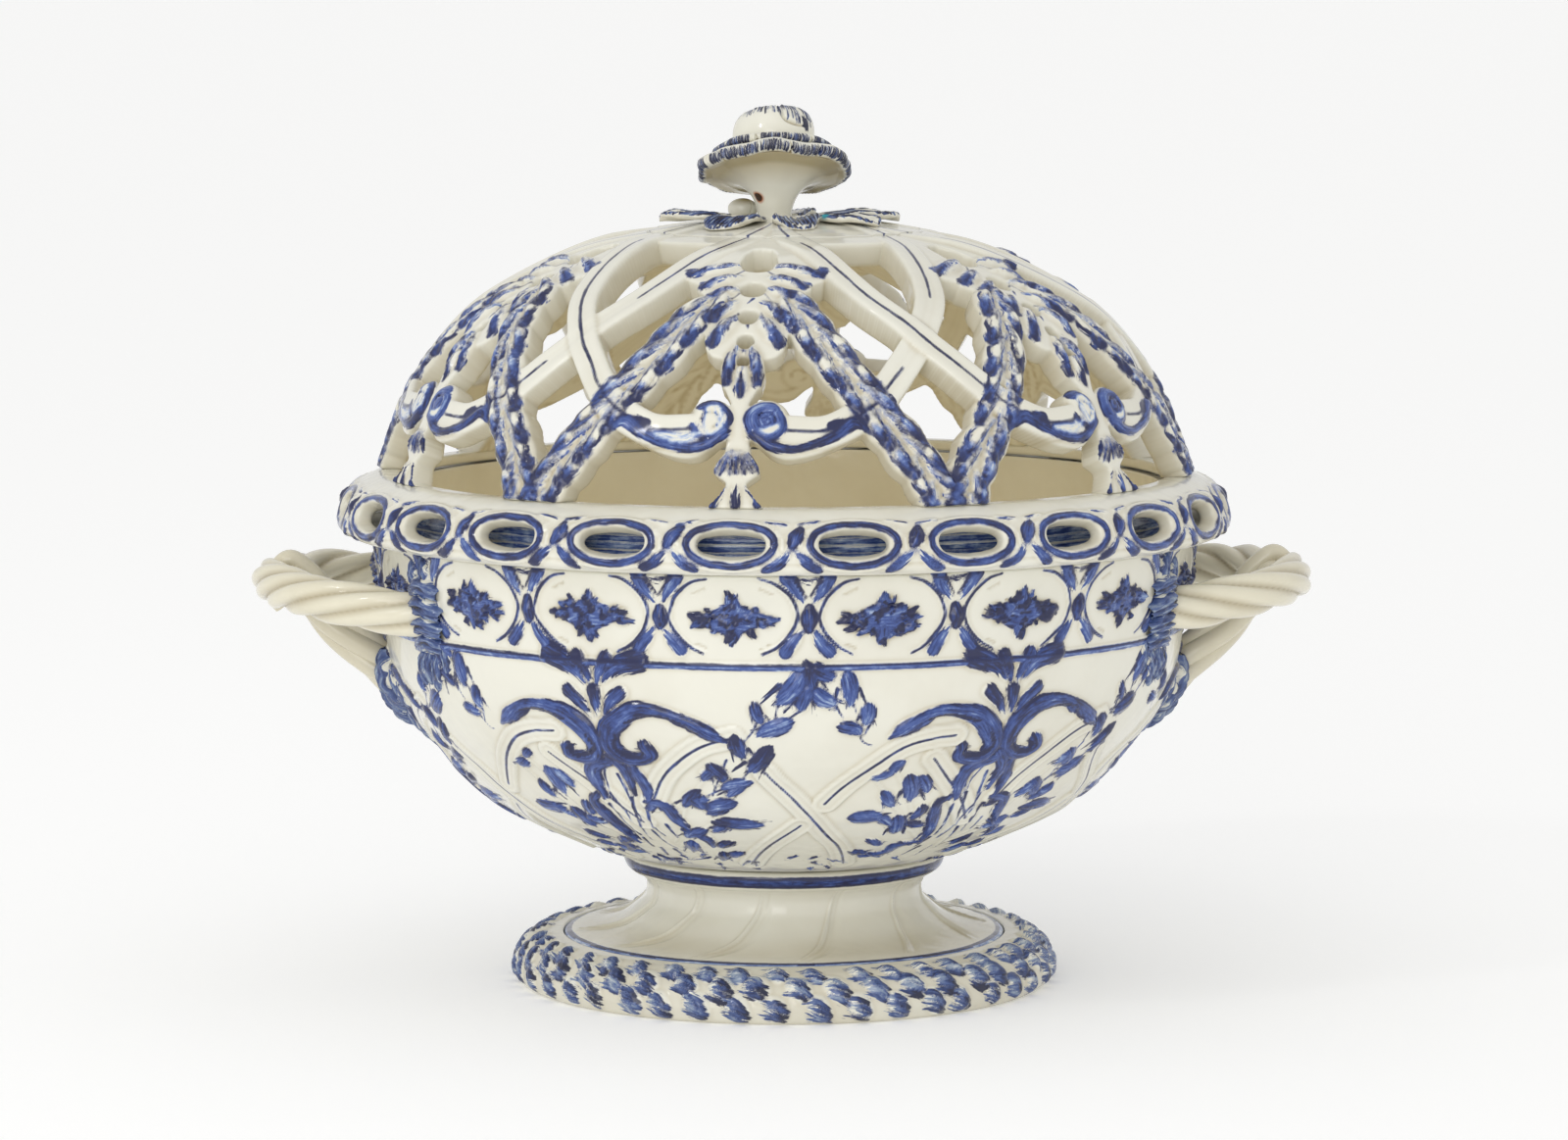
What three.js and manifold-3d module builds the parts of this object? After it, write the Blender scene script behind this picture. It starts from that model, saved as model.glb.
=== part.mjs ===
// Potpourri vase: a footed bowl with rope handles and a lift-off pierced cover, glazed earthenware.
// Millimetres, +Z up. The foot stands on z = 0, the handles lie along X and the front faces -Y.
import * as THREE from 'three';
import { mergeVertices } from 'three/addons/utils/BufferGeometryUtils.js';
import Module from 'manifold-3d';

const wasm = await Module();
wasm.setup();

// Clearances and wall thicknesses
const seamGap = 0.3;
const lidClearance = 0.6;
const bowlWall = 6;
const footWall = 6;
const latticeDepth = 7;

// Foot
const footRadius = 78.7;
const footStandWidth = 8;
const leafRingWidth = 14.1;
const leafRingHeight = 14.6;
const leafCount = 36;
const leafRelief = 0.9;
const neckRadius = 40.4;
const neckHeight = 28;
const collarRadius = 46.9;
const collarBead = 4;
const pedestalHeight = 38.2;
const fluteCount = 12;
const fluteRelief = 0.9;
const fluteSwirl = 0.35;

// Bowl, with its upright band between shoulder and rim
const bowlFootRadius = 45.4;
const rimRadius = 119.9;
const rimHeight = 131.4;
const bandSpread = 3.4;
const bandHeight = 24.4;
const galleryInset = 5.9;
const galleryRise = 13.6;
const galleryWall = 4.5;
const shoulderRadius = rimRadius - bandSpread;
const shoulderHeight = rimHeight - bandHeight;
const galleryRadius = rimRadius - galleryInset;

// Rope handles and the leaves over their ends
const handleOverhang = 28.1;
const handleEndAngle = 28;
const handleEndRise = 6;
const handleTipRise = 5;
const ropeRadius = 6.6;
const strandCount = 4;
const strandRelief = 0.9;
const ropeTurns = 1.4;
const propInset = 7;
const propFootDrop = { right: 21, left: 18 };
const leafPadDepth = 3;
const leafPadReach = 15;
const leafPadLobes = 5;
const handleReach = rimRadius + handleOverhang;
const handleEndHeight = shoulderHeight + handleEndRise;
const handleTipHeight = handleEndHeight + handleTipRise;

// Cover flange with its ring of oval holes
const flangeOverhang = 9.8;
const flangeHeight = 17.8;
const seatOverhang = 3.7;
const flangeWall = 4.6;
const holeCount = 24;
const holeWidth = 21;
const holeHeight = 9;
const holeTilt = 27;
const flangeRadius = rimRadius + flangeOverhang;
const seatRadius = rimRadius + seatOverhang;

// Pierced dome
const domeInset = 11.9;
const domeRadius = flangeRadius - domeInset;
const domeRise = 72.4;
const crownRadius = 46.5;
const coverTurn = -9.7;
const unitCount = 6;
const ribbonWidth = 9.2;
const ribbonStep = 0.5;
const garlandWidth = 11;
const huskFlare = 0.16;
const buttonHoles = [
  { up: 0.707, radius: 3.6 },
  { up: 0.581, radius: 2.9 },
  { up: 0.488, radius: 2.4 },
  { up: 0.421, radius: 1.8 },
];

// Flower finial
const stemRadius = 5.2;
const stemFootRadius = 8.6;
const headHeight = 12.6;
const headTilt = 17;
const brimRadius = 22.4;
const brimThickness = 5.2;
const tierRadius = 18.2;
const tierThickness = 3.6;
const heartRadius = 11.7;
const heartHeight = 11.4;
const petalWave = 0.7;
const calyxThickness = 3;
const calyxLeaves = [
  { name: 'left', angle: -82, reach: 0.75, slimness: 0.43 },
  { name: 'front_left', angle: -38, reach: 0.71, slimness: 0.4 },
  { name: 'front', angle: 10, reach: 0.67, slimness: 0.39 },
  { name: 'right', angle: 56, reach: 0.73, slimness: 0.44 },
  { name: 'back_right', angle: 104, reach: 0.8, slimness: 0.35 },
  { name: 'back', angle: 168, reach: 0.69, slimness: 0.47 },
];
const budAngle = -138;
const budDistance = 17;
const budRadius = 4.4;

// Facets, and the slack that their chords need beside a curved edge
const facetSlack = 0.3;
const roundSteps = 36;
const flangeSteps = 2 * holeCount;
const footSteps = 2 * leafCount;

const rad = THREE.MathUtils.degToRad;

// The azimuth is counted in degrees from the front, -Y, towards +X
function polar(angle, radius, height) {
  return new THREE.Vector3(radius * Math.sin(rad(angle)), -radius * Math.cos(rad(angle)), height);
}

// Glaze colours
const cream = { color: 0xe6e3d4, roughness: 0.22, metalness: 0 };
const creamRope = { color: 0xded8c2, roughness: 0.25, metalness: 0 };
const cobaltOnCream = { color: 0xa9b2cf, roughness: 0.24, metalness: 0 };
const cobalt = { color: 0x3a4f93, roughness: 0.26, metalness: 0 };

// Keeps only positions, joins shared corners and turns the faces outwards
function closedBody(geometry) {
  geometry.deleteAttribute('normal');
  geometry.deleteAttribute('uv');
  const merged = mergeVertices(geometry);
  const p = merged.attributes.position;
  const index = merged.index.array;
  let volume = 0;
  const corner = [new THREE.Vector3(), new THREE.Vector3(), new THREE.Vector3()];
  for (let i = 0; i < index.length; i += 3) {
    corner.forEach((c, k) => c.fromBufferAttribute(p, index[i + k]));
    volume += corner[0].dot(corner[1].cross(corner[2]));
  }
  if (volume < 0) {
    for (let i = 0; i < index.length; i += 3) {
      [index[i], index[i + 1]] = [index[i + 1], index[i]];
    }
  }
  return merged;
}

function toManifold(geometry) {
  const body = closedBody(geometry.clone());
  const vertProperties = new Float32Array(body.attributes.position.array);
  const triVerts = new Uint32Array(body.index.array);
  return new wasm.Manifold(new wasm.Mesh({ numProp: 3, vertProperties, triVerts }));
}

function fromManifold(manifold) {
  const mesh = manifold.getMesh();
  const geometry = new THREE.BufferGeometry();
  geometry.setAttribute('position', new THREE.BufferAttribute(mesh.vertProperties, 3));
  geometry.setIndex(new THREE.BufferAttribute(mesh.triVerts, 1));
  return geometry;
}

// Cuts a body and keeps its main part, without the crumbs that a slanting cut leaves
function cut(geometry, ...tools) {
  const body = tools.reduce((left, tool) => left.subtract(toManifold(tool)), toManifold(geometry));
  const parts = body.decompose().sort((a, b) => b.volume() - a.volume());
  return fromManifold(parts[0]);
}

function join(...geometries) {
  const [first, ...rest] = geometries.map(toManifold);
  return fromManifold(rest.reduce((body, next) => body.add(next), first));
}

function piece(name, geometry, look) {
  const body = closedBody(geometry);
  body.computeVertexNormals();
  const mesh = new THREE.Mesh(body, new THREE.MeshStandardMaterial({ ...look, flatShading: true }));
  mesh.name = name;
  return mesh;
}

// A solid through rings of matching points, capped at its ends or closed into a loop
function loft(rings, loop = false) {
  const count = rings[0].length;
  const points = rings.flat();
  const faces = [];
  const spans = loop ? rings.length : rings.length - 1;
  for (let i = 0; i < spans; i += 1) {
    const next = (i + 1) % rings.length;
    for (let j = 0; j < count; j += 1) {
      const k = (j + 1) % count;
      faces.push(i * count + j, i * count + k, next * count + k);
      faces.push(i * count + j, next * count + k, next * count + j);
    }
  }
  if (!loop) {
    for (const [ring, flip] of [[0, true], [rings.length - 1, false]]) {
      const centre = new THREE.Vector3();
      rings[ring].forEach((point) => centre.addScaledVector(point, 1 / count));
      points.push(centre);
      for (let j = 0; j < count; j += 1) {
        const a = ring * count + j;
        const b = ring * count + ((j + 1) % count);
        faces.push(points.length - 1, flip ? b : a, flip ? a : b);
      }
    }
  }
  const geometry = new THREE.BufferGeometry().setFromPoints(points);
  geometry.setIndex(faces);
  return geometry;
}

// A ring whose section, a list of [radius, height], may change as it goes round
function turnedRing(sectionAt, steps) {
  const rings = [];
  for (let i = 0; i < steps; i += 1) {
    const angle = (360 * i) / steps;
    rings.push(sectionAt(angle).map(([r, z]) => polar(angle, r, z)));
  }
  return loft(rings, true);
}

// A solid of revolution whose profile starts and ends on the axis
function turned(profile, steps) {
  const outline = profile.map(([r, z]) => new THREE.Vector2(r, z));
  return new THREE.LatheGeometry(outline, steps).rotateX(Math.PI / 2);
}

// A profile curve as a surface to dress: the point and outward normal at a share of its length
function dressedSurface(points) {
  const curve = new THREE.SplineCurve(points.map(([r, z]) => new THREE.Vector2(r, z)));
  return {
    length: curve.getLength(),
    at(share, depth = 0) {
      const along = THREE.MathUtils.clamp(share, 0, 1);
      const point = curve.getPointAt(along);
      const tangent = curve.getTangentAt(along);
      return [point.x - depth * tangent.y, point.y + depth * tangent.x];
    },
    shareAtRadius(radius, low, high) {
      let [a, b] = [low, high];
      for (let i = 0; i < 30; i += 1) {
        const middle = (a + b) / 2;
        const inside = curve.getPointAt(middle).x < radius;
        const rising = curve.getPointAt(b).x > curve.getPointAt(a).x;
        if (inside === rising) {
          a = middle;
        } else {
          b = middle;
        }
      }
      return (a + b) / 2;
    },
    shareAtHeight(height) {
      let [a, b] = [0, 1];
      for (let i = 0; i < 30; i += 1) {
        const middle = (a + b) / 2;
        if (curve.getPointAt(middle).y < height) {
          a = middle;
        } else {
          b = middle;
        }
      }
      return (a + b) / 2;
    },
  };
}

// Foot ring, pressed with overlapping leaves whose ribs alternate from row to row
function footLeafRing() {
  const inner = footRadius - leafRingWidth;
  const ledge = 6;
  const standOuter = footRadius - 2.1;
  const rows = [
    [footRadius, 0.3],
    [footRadius - 1.4, 0.64],
    [footRadius - 6, 0.9],
  ];
  return turnedRing((angle) => {
    const rib = leafRelief * Math.cos(rad(leafCount * angle));
    return [
      [standOuter - footStandWidth, 0],
      [standOuter, 0],
      ...rows.map(([r, share], row) => [r - leafRelief + (row % 2 ? -rib : rib), share * leafRingHeight]),
      [inner, leafRingHeight],
      [inner, ledge],
    ];
  }, footSteps);
}

// Thrown pedestal: a cove with swirled flutes, a waist and the beaded collar under the bowl
function footPedestal() {
  const edge = footRadius - leafRingWidth - seamGap;
  const ledge = 6.5;
  const coveDrop = neckHeight - leafRingHeight;
  const cove = [[0.6, 0.1], [0.26, 0.38], [0.04, 0.8]];
  const outer = cove.map(([out, up]) => [
    neckRadius + out * (edge - neckRadius),
    leafRingHeight + up * coveDrop,
  ]);
  const beadMiddle = pedestalHeight - collarBead / 2;
  return turnedRing((angle) => {
    const flutes = outer.map(([r, z], row) => {
      const fade = Math.sin((Math.PI * (row + 0.6)) / (outer.length + 0.6));
      return [r + fluteRelief * fade * Math.cos(rad(fluteCount * angle) + fluteSwirl * row), z];
    });
    return [
      [edge, ledge],
      [edge, leafRingHeight - 0.6],
      ...flutes,
      [neckRadius + 0.6, neckHeight + 2.5],
      [collarRadius - 1, pedestalHeight - collarBead],
      [collarRadius, beadMiddle],
      [collarRadius - 1.4, pedestalHeight],
      [neckRadius - footWall, pedestalHeight],
      [neckRadius - footWall + 1, neckHeight - 6],
      [edge - footWall, ledge],
    ];
  }, roundSteps);
}

// Bowl outside, from its foot over the belly to the shoulder and up the band to the rim
const bowlFloor = pedestalHeight + seamGap;
const bellyShape = [
  [0, 0], [0.11, 0.022], [0.3, 0.105], [0.54, 0.228], [0.69, 0.36],
  [0.77, 0.464], [0.868, 0.588], [0.94, 0.723], [0.98, 0.854], [1, 1],
];
const bowlOutside = dressedSurface([
  ...bellyShape.map(([out, up]) => [
    bowlFootRadius + out * (shoulderRadius - bowlFootRadius),
    bowlFloor + up * (shoulderHeight - bowlFloor),
  ]),
  [(shoulderRadius + rimRadius) / 2, (shoulderHeight + rimHeight) / 2],
  [rimRadius, rimHeight],
]);
const galleryTop = rimHeight + galleryRise;

function profileStations(surface, from, to, count, depth) {
  const stations = [];
  for (let i = 0; i <= count; i += 1) {
    stations.push(surface.at(from + ((to - from) * i) / count, depth));
  }
  return stations;
}

// Bowl, with the upstanding gallery that the cover drops over
function bowl() {
  const inside = galleryRadius - galleryWall;
  const insideTop = bowlOutside.shareAtHeight(rimHeight - 0.75 * bandHeight);
  return turned([
    [0, bowlFloor],
    ...profileStations(bowlOutside, 0, 1, 9, 0),
    [galleryRadius, rimHeight],
    [galleryRadius, galleryTop],
    [inside, galleryTop],
    ...profileStations(bowlOutside, insideTop, 0.04, 4, bowlWall),
    [0, bowlFloor + bowlWall],
  ], roundSteps);
}

function bowlEnvelope(gap) {
  return turned([
    [0, bowlFloor - gap],
    ...profileStations(bowlOutside, 0, 1, 9, -gap),
    [0, rimHeight + gap],
  ], roundSteps);
}

// Rope of twisted strands along a curve, its section a ring of rounded lobes
function rope(curve, steps, radius, turns) {
  const frames = curve.computeFrenetFrames(steps, false);
  const sides = 2 * strandCount;
  const rings = [];
  for (let i = 0; i <= steps; i += 1) {
    const share = i / steps;
    const centre = curve.getPointAt(share);
    const ring = [];
    for (let j = 0; j < sides; j += 1) {
      const around = (2 * Math.PI * j) / sides + 2 * Math.PI * turns * share;
      const reach = radius - (j % 2 ? 2 * strandRelief : 0);
      const point = centre.clone();
      point.addScaledVector(frames.normals[i], reach * Math.cos(around));
      point.addScaledVector(frames.binormals[i], reach * Math.sin(around));
      ring.push(point);
    }
    rings.push(ring);
  }
  return loft(rings);
}

function plainTube(curve, steps, radius) {
  const sides = 8;
  const section = new THREE.Shape();
  for (let i = 0; i < sides; i += 1) {
    const around = (2 * Math.PI * i) / sides;
    const reach = radius / Math.cos(Math.PI / sides);
    const corner = [reach * Math.cos(around), reach * Math.sin(around)];
    if (i === 0) {
      section.moveTo(...corner);
    } else {
      section.lineTo(...corner);
    }
  }
  return new THREE.ExtrudeGeometry(section, { steps, bevelEnabled: false, extrudePath: curve });
}

// Where the handle ropes meet the bowl, inside its wall so that the cut leaves a true seat
const endRadius = bowlOutside.at(bowlOutside.shareAtHeight(handleEndHeight))[0] - bowlWall;
const endOut = endRadius * Math.cos(rad(handleEndAngle));
const endAside = endRadius * Math.sin(rad(handleEndAngle));

// Half of the horizontal loop as shares of its reach and of its spread, mirrored for the other half
function loopCurve(side) {
  const half = [[0, 1, 0], [0.38, 0.9, 0.35], [0.72, 0.69, 0.75], [0.93, 0.36, 0.97]];
  const whole = [...half, [1, 0, 1], ...half.map(([out, aside, up]) => [out, -aside, up]).reverse()];
  return new THREE.CatmullRomCurve3(whole.map(([out, aside, up]) => new THREE.Vector3(
    side * (endOut + out * (handleReach - endOut)),
    -aside * endAside,
    handleEndHeight + up * (handleTipHeight - handleEndHeight),
  )));
}

// The prop runs from inside the loop's tip down to the bowl
function propCurve(side, footHeight) {
  const foot = bowlOutside.at(bowlOutside.shareAtHeight(footHeight))[0] - bowlWall;
  const shape = [[0, 0], [0.3, 0.27], [0.68, 0.6], [1, 1]];
  return new THREE.CatmullRomCurve3(shape.map(([out, up]) => new THREE.Vector3(
    side * (foot + out * (handleReach - propInset - foot)),
    0,
    footHeight - 3 + up * (handleTipHeight - footHeight + 3),
  )));
}

// A leafy pad pressed over a rope end: lobes round the rope, drawn on the bowl's own surface
function leafPad(angle, height, drop) {
  const share = bowlOutside.shareAtHeight(height);
  const outline = [];
  const sides = 2 * leafPadLobes;
  for (let i = 0; i < sides; i += 1) {
    const around = (2 * Math.PI * i) / sides;
    const r = i % 2 ? leafPadReach * 0.72 : leafPadReach;
    const down = Math.sin(around) < 0 ? drop : 1;
    outline.push([r * Math.cos(around), r * down * Math.sin(around)]);
  }
  const perMm = 180 / Math.PI / bowlOutside.at(share)[0];
  const onSurface = (x, y, depth) => {
    const [radius, z] = bowlOutside.at(share + y / bowlOutside.length, depth);
    return polar(angle + x * perMm, radius, z);
  };
  return bentPlate(outline, [], onSurface, -seamGap - leafPadDepth, 1);
}

// Bends a flat outline with holes into a plate between two depths of a surface
function bentPlate(outline, holes, onSurface, outerDepth, innerDepth) {
  const toPoints = (list) => list.map(([x, y]) => new THREE.Vector2(x, y));
  const shape = new THREE.Shape(toPoints(outline));
  shape.holes = holes.map((hole) => new THREE.Path(toPoints(hole)));
  const plate = new THREE.ExtrudeGeometry(shape, { depth: 1, bevelEnabled: false });
  const p = plate.attributes.position;
  for (let i = 0; i < p.count; i += 1) {
    const depth = p.getZ(i) > 0.5 ? outerDepth : innerDepth;
    const point = onSurface(p.getX(i), p.getY(i), depth);
    p.setXYZ(i, point.x, point.y, point.z);
  }
  return plate;
}

function handle(side, word) {
  const group = new THREE.Group();
  const envelope = bowlEnvelope(seamGap);
  const loop = loopCurve(side);
  const propFoot = shoulderHeight - propFootDrop[word];
  const prop = propCurve(side, propFoot);
  const loopCutter = plainTube(loop, 28, ropeRadius + seamGap);
  const propCutter = plainTube(prop, 8, ropeRadius + seamGap);
  group.add(piece(`handle_${word}_rope`, cut(rope(loop, 28, ropeRadius, ropeTurns), envelope), creamRope));
  const propRope = rope(prop, 9, ropeRadius, ropeTurns / 3);
  group.add(piece(`handle_${word}_prop`, cut(propRope, envelope, loopCutter), creamRope));
  const pads = [
    { end: 'front', angle: side * (90 - handleEndAngle), height: handleEndHeight, drop: 1 },
    { end: 'back', angle: side * (90 + handleEndAngle), height: handleEndHeight, drop: 1 },
    { end: 'lower', angle: side * 90, height: propFoot, drop: 1.3 },
  ];
  for (const pad of pads) {
    const plate = leafPad(pad.angle, pad.height, pad.drop);
    const cutter = pad.end === 'lower' ? propCutter : loopCutter;
    group.add(piece(`handle_${word}_${pad.end}_leaves`, cut(plate, envelope, cutter), cobalt));
  }
  return group;
}

// Cover, modelled facing the front and turned as a whole on the bowl
const flangeBottom = rimHeight + seamGap;
const flangeTop = flangeBottom + flangeHeight;
const domeFoot = flangeTop + seamGap;
const seatInner = galleryRadius + lidClearance + seamGap;

// The slanting face that the oval holes pierce, from its lower edge to its upper one
function piercedFace() {
  const low = new THREE.Vector2(flangeRadius - 0.2, flangeBottom + 5.3);
  const rise = holeHeight + 0.8;
  const high = new THREE.Vector2(low.x - rise * Math.sin(rad(holeTilt)), low.y + rise * Math.cos(rad(holeTilt)));
  return [low, high];
}

// Flange moulding, hollow behind its holes, with the seat ring that rests on the rim
function coverFlange() {
  const inwards = new THREE.Vector2(-Math.cos(rad(holeTilt)), -Math.sin(rad(holeTilt)));
  inwards.multiplyScalar(flangeWall);
  const [low, high] = piercedFace();
  const seatThickness = 2.4;
  const section = [
    [seatInner, flangeBottom],
    [seatRadius, flangeBottom],
    [flangeRadius - 0.6, flangeBottom + 2.4],
    [low.x, low.y],
    [high.x, high.y],
    [domeRadius, flangeTop],
    [domeRadius - latticeDepth, flangeTop],
    [domeRadius - latticeDepth, flangeTop - 3.2],
    [high.x + inwards.x, high.y + inwards.y],
    [low.x + inwards.x, low.y + inwards.y],
    [low.x + inwards.x - 2.4, flangeBottom + seatThickness],
    [seatInner, flangeBottom + seatThickness],
  ];
  const ring = turnedRing(() => section, flangeSteps);
  const holes = [];
  for (let i = 0; i < holeCount; i += 1) {
    holes.push(ovalPlug((360 * i) / holeCount));
  }
  return cut(ring, ...holes);
}

function ovalPlug(angle) {
  const oval = new THREE.Shape();
  const flat = (holeWidth - holeHeight) / 2;
  const round = holeHeight / 2;
  const roundSides = 3;
  for (const end of [1, -1]) {
    for (let i = 0; i <= roundSides; i += 1) {
      const around = rad(-90 + (180 * i) / roundSides);
      const corner = [end * (flat + round * Math.cos(around)), end * round * Math.sin(around)];
      if (oval.curves.length === 0 && end === 1 && i === 0) {
        oval.moveTo(...corner);
      } else {
        oval.lineTo(...corner);
      }
    }
  }
  const reachIn = flangeWall + 1.6;
  const plug = new THREE.ExtrudeGeometry(oval, { depth: reachIn + 3, bevelEnabled: false });
  plug.translate(0, 0, -reachIn);
  plug.rotateX(rad(90 - holeTilt));
  const [low, high] = piercedFace();
  const centre = polar(0, (low.x + high.x) / 2, (low.y + high.y) / 2);
  plug.translate(centre.x, centre.y, centre.z);
  return plug.rotateZ(rad(angle));
}

// Dome outside, from the flange to the apex
const domeShape = [
  [1, 0], [0.957, 0.185], [0.916, 0.343], [0.832, 0.539], [0.733, 0.695],
  [0.559, 0.851], [0.41, 0.931], [0.2, 0.987], [0, 1],
];
const domeOutside = dressedSurface(domeShape.map(([out, up]) => [out * domeRadius, domeFoot + up * domeRise]));
const crownShare = domeOutside.shareAtRadius(crownRadius, 0.3, 1);
const latticeHeight = crownShare * domeOutside.length;

// A place on the dome: azimuth, share of the way up from flange to crown, and depth under the surface
function onDome(angle, up, depth) {
  const [r, z] = domeOutside.at(Math.min(Math.max(up * crownShare, 0), 1), depth);
  return polar(angle, r, Math.max(z, domeFoot));
}

function domeRadiusAt(up) {
  return domeOutside.at(Math.min(Math.max(up * crownShare, 0), 1))[0];
}

// A strip along a path of [angle, up] on the dome, its half width a function of the share along it
function domeStrip(path, steps, halfWidthAt, outerDepth, innerDepth) {
  const curve = new THREE.SplineCurve(path.map(([angle, up]) => new THREE.Vector2(angle, up)));
  const rings = [];
  for (let i = 0; i <= steps; i += 1) {
    const t = i / steps;
    const centre = curve.getPoint(t);
    const tangent = curve.getTangent(t);
    const degree = rad(1) * domeRadiusAt(centre.y);
    const along = new THREE.Vector2(tangent.x * degree, tangent.y * latticeHeight).normalize();
    const half = halfWidthAt(t);
    const ring = [];
    for (const [sideways, depth] of [[-1, outerDepth], [1, outerDepth], [1, innerDepth], [-1, innerDepth]]) {
      const angle = centre.x + (sideways * half * along.y) / degree;
      const up = centre.y - (sideways * half * along.x) / latticeHeight;
      ring.push(onDome(angle, Math.min(Math.max(up, 0), 1), depth));
    }
    rings.push(ring);
  }
  return loft(rings);
}

// Ribbon path of a unit's right side, from under its garland up to the crown
const ribbonPath = [
  [19.4, 0.28], [22.5, 0.337], [25.6, 0.4], [32, 0.538],
  [36.5, 0.644], [40.5, 0.77], [44, 0.885], [48, 1],
];
const unitAngle = 360 / unitCount;

// Garland path: from the palmette's shoulder down to the flange, where it meets its neighbour
const garlandEnd = unitAngle / 2 - ((garlandWidth * (1 - huskFlare)) / 2 + seamGap) / domeRadius / rad(1);
const garlandPath = [
  [4, 0.68], [8, 0.62], [12.3, 0.49], [15.2, 0.41],
  [20, 0.27], [24.4, 0.145], [garlandEnd, 0],
];
const huskCount = 5;

function mirrored(path, side) {
  return path.map(([angle, up]) => [side * angle, up]);
}

function garlandStrip(side, grow, depthGrow) {
  const steps = 2 * huskCount;
  const halfAt = (t) => {
    const husk = Math.round(t * steps) % 2;
    return (garlandWidth / 2) * (1 + (husk ? huskFlare : -huskFlare)) + grow;
  };
  return domeStrip(mirrored(garlandPath, side), steps, halfAt, -ribbonStep - depthGrow, latticeDepth + depthGrow);
}

function ribbonStrip(side, depth) {
  return domeStrip(mirrored(ribbonPath, side), 6, () => ribbonWidth / 2, depth, latticeDepth - depth);
}

// The azimuth just beside a strip, on the side of the unit's middle, at a height on the dome
function besideStrip(path, width, up) {
  const upwards = path[0][1] < path[1][1] ? path : [...path].reverse();
  const upper = Math.max(1, upwards.findIndex(([, height]) => height >= up));
  const [[angleA, upA], [angleB, upB]] = [upwards[upper - 1], upwards[upper]];
  const degree = rad(1) * domeRadiusAt(up);
  const slope = ((angleB - angleA) * degree) / ((upB - upA) * latticeHeight);
  const centre = angleA + ((angleB - angleA) * (up - upA)) / (upB - upA);
  return centre - ((width / 2 + facetSlack + seamGap) * Math.hypot(1, slope)) / degree;
}

// The neighbour's ribbon, seen from this unit's middle
const neighbourRibbon = ribbonPath.map(([angle, up]) => [unitAngle - angle, up]);

// Half of the palmette with its stem, scroll, husk and bell foot, bottom to top, as [angle, up]
const palmetteHalf = [
  [3.9, 0], [3.1, 0.02], [1.2, 0.065], [3.4, 0.105], [1.7, 0.165],
  [3.4, 0.172], [6.5, 0.155], [10, 0.142], [13.5, 0.152],
  ...[0.215, 0.285].map((up) => [besideStrip(garlandPath, garlandWidth * (1 + huskFlare), up), up]),
  [11.5, 0.23], [8.9, 0.222], [7.7, 0.245], [6.9, 0.281], [4.8, 0.302], [2.7, 0.298],
  [1.2, 0.285], [2.7, 0.335], [3.3, 0.43], [5.8, 0.44], [6.9, 0.475], [7.2, 0.522],
  [6, 0.625], [9.1, 0.664], [12, 0.705],
  ...[0.772, 0.88, 1].map((up) => [besideStrip(neighbourRibbon, ribbonWidth, up), up]),
];

function ring(centreUp, radius, sides) {
  const degree = rad(1) * domeRadiusAt(centreUp);
  const points = [];
  for (let i = 0; i < sides; i += 1) {
    const around = (2 * Math.PI * i) / sides;
    points.push([(radius * Math.cos(around)) / degree, centreUp + (radius * Math.sin(around)) / latticeHeight]);
  }
  return points;
}

// Palmette of a unit: pierced plate with the keyhole at its head and four round holes under it
function palmette() {
  const outline = [...palmetteHalf, ...mirrored(palmetteHalf, -1).reverse()];
  const keyholeHalf = [[2.5, 0.805], [4.6, 0.83], [5, 0.9], [4.6, 0.955]];
  const keyhole = [...keyholeHalf, ...mirrored(keyholeHalf, -1).reverse()];
  const holes = [keyhole, ...buttonHoles.map(({ up, radius }) => ring(up, radius, 6))];
  return bentPlate(outline, holes, onDome, 0, latticeDepth);
}

// Garland of a unit, cut back where it grows from the palmette's shoulder
function garland(side) {
  return cut(garlandStrip(side, 0, 0), palmetteShoulders());
}

function palmetteShoulders() {
  const degree = rad(1) * domeRadiusAt(0.6);
  const grown = palmetteHalf.filter(([, up]) => up > 0.42).map(([angle, up]) => [angle + seamGap / degree, up]);
  const outline = [...grown, ...mirrored(grown, -1).reverse()];
  return bentPlate(outline, [], onDome, -2, latticeDepth + 2);
}

// Two ribbons crossing between a unit and the next, the next unit's own ribbon on top
function ribbonCrossing() {
  const under = ribbonStrip(1, ribbonStep);
  const over = ribbonStrip(-1, 0).rotateZ(rad(unitAngle));
  const garlands = [1, -1].map((side) => garlandStrip(side, seamGap, 2).rotateZ(side > 0 ? 0 : rad(unitAngle)));
  return cut(join(under, over), ...garlands);
}

// Crown of the dome, where ribbons and palmettes run together under the flower
const domeApex = domeFoot + domeRise;
const crownBossRadius = 10;

function coverCrown() {
  const edge = crownShare + (seamGap + 0.1) / domeOutside.length;
  const boss = domeOutside.shareAtRadius(crownBossRadius, edge, 1);
  return turned([
    [0, domeApex - latticeDepth],
    domeOutside.at(edge, latticeDepth),
    ...profileStations(domeOutside, edge, boss, 2, 0),
    [0, domeOutside.at(boss)[1]],
  ], roundSteps);
}

// Stem of the flower: a rolled coil that flares into a trumpet and leans back at its head
const stemFoot = domeOutside.at(domeOutside.shareAtRadius(crownBossRadius, 0.5, 1))[1] + seamGap;

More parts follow.
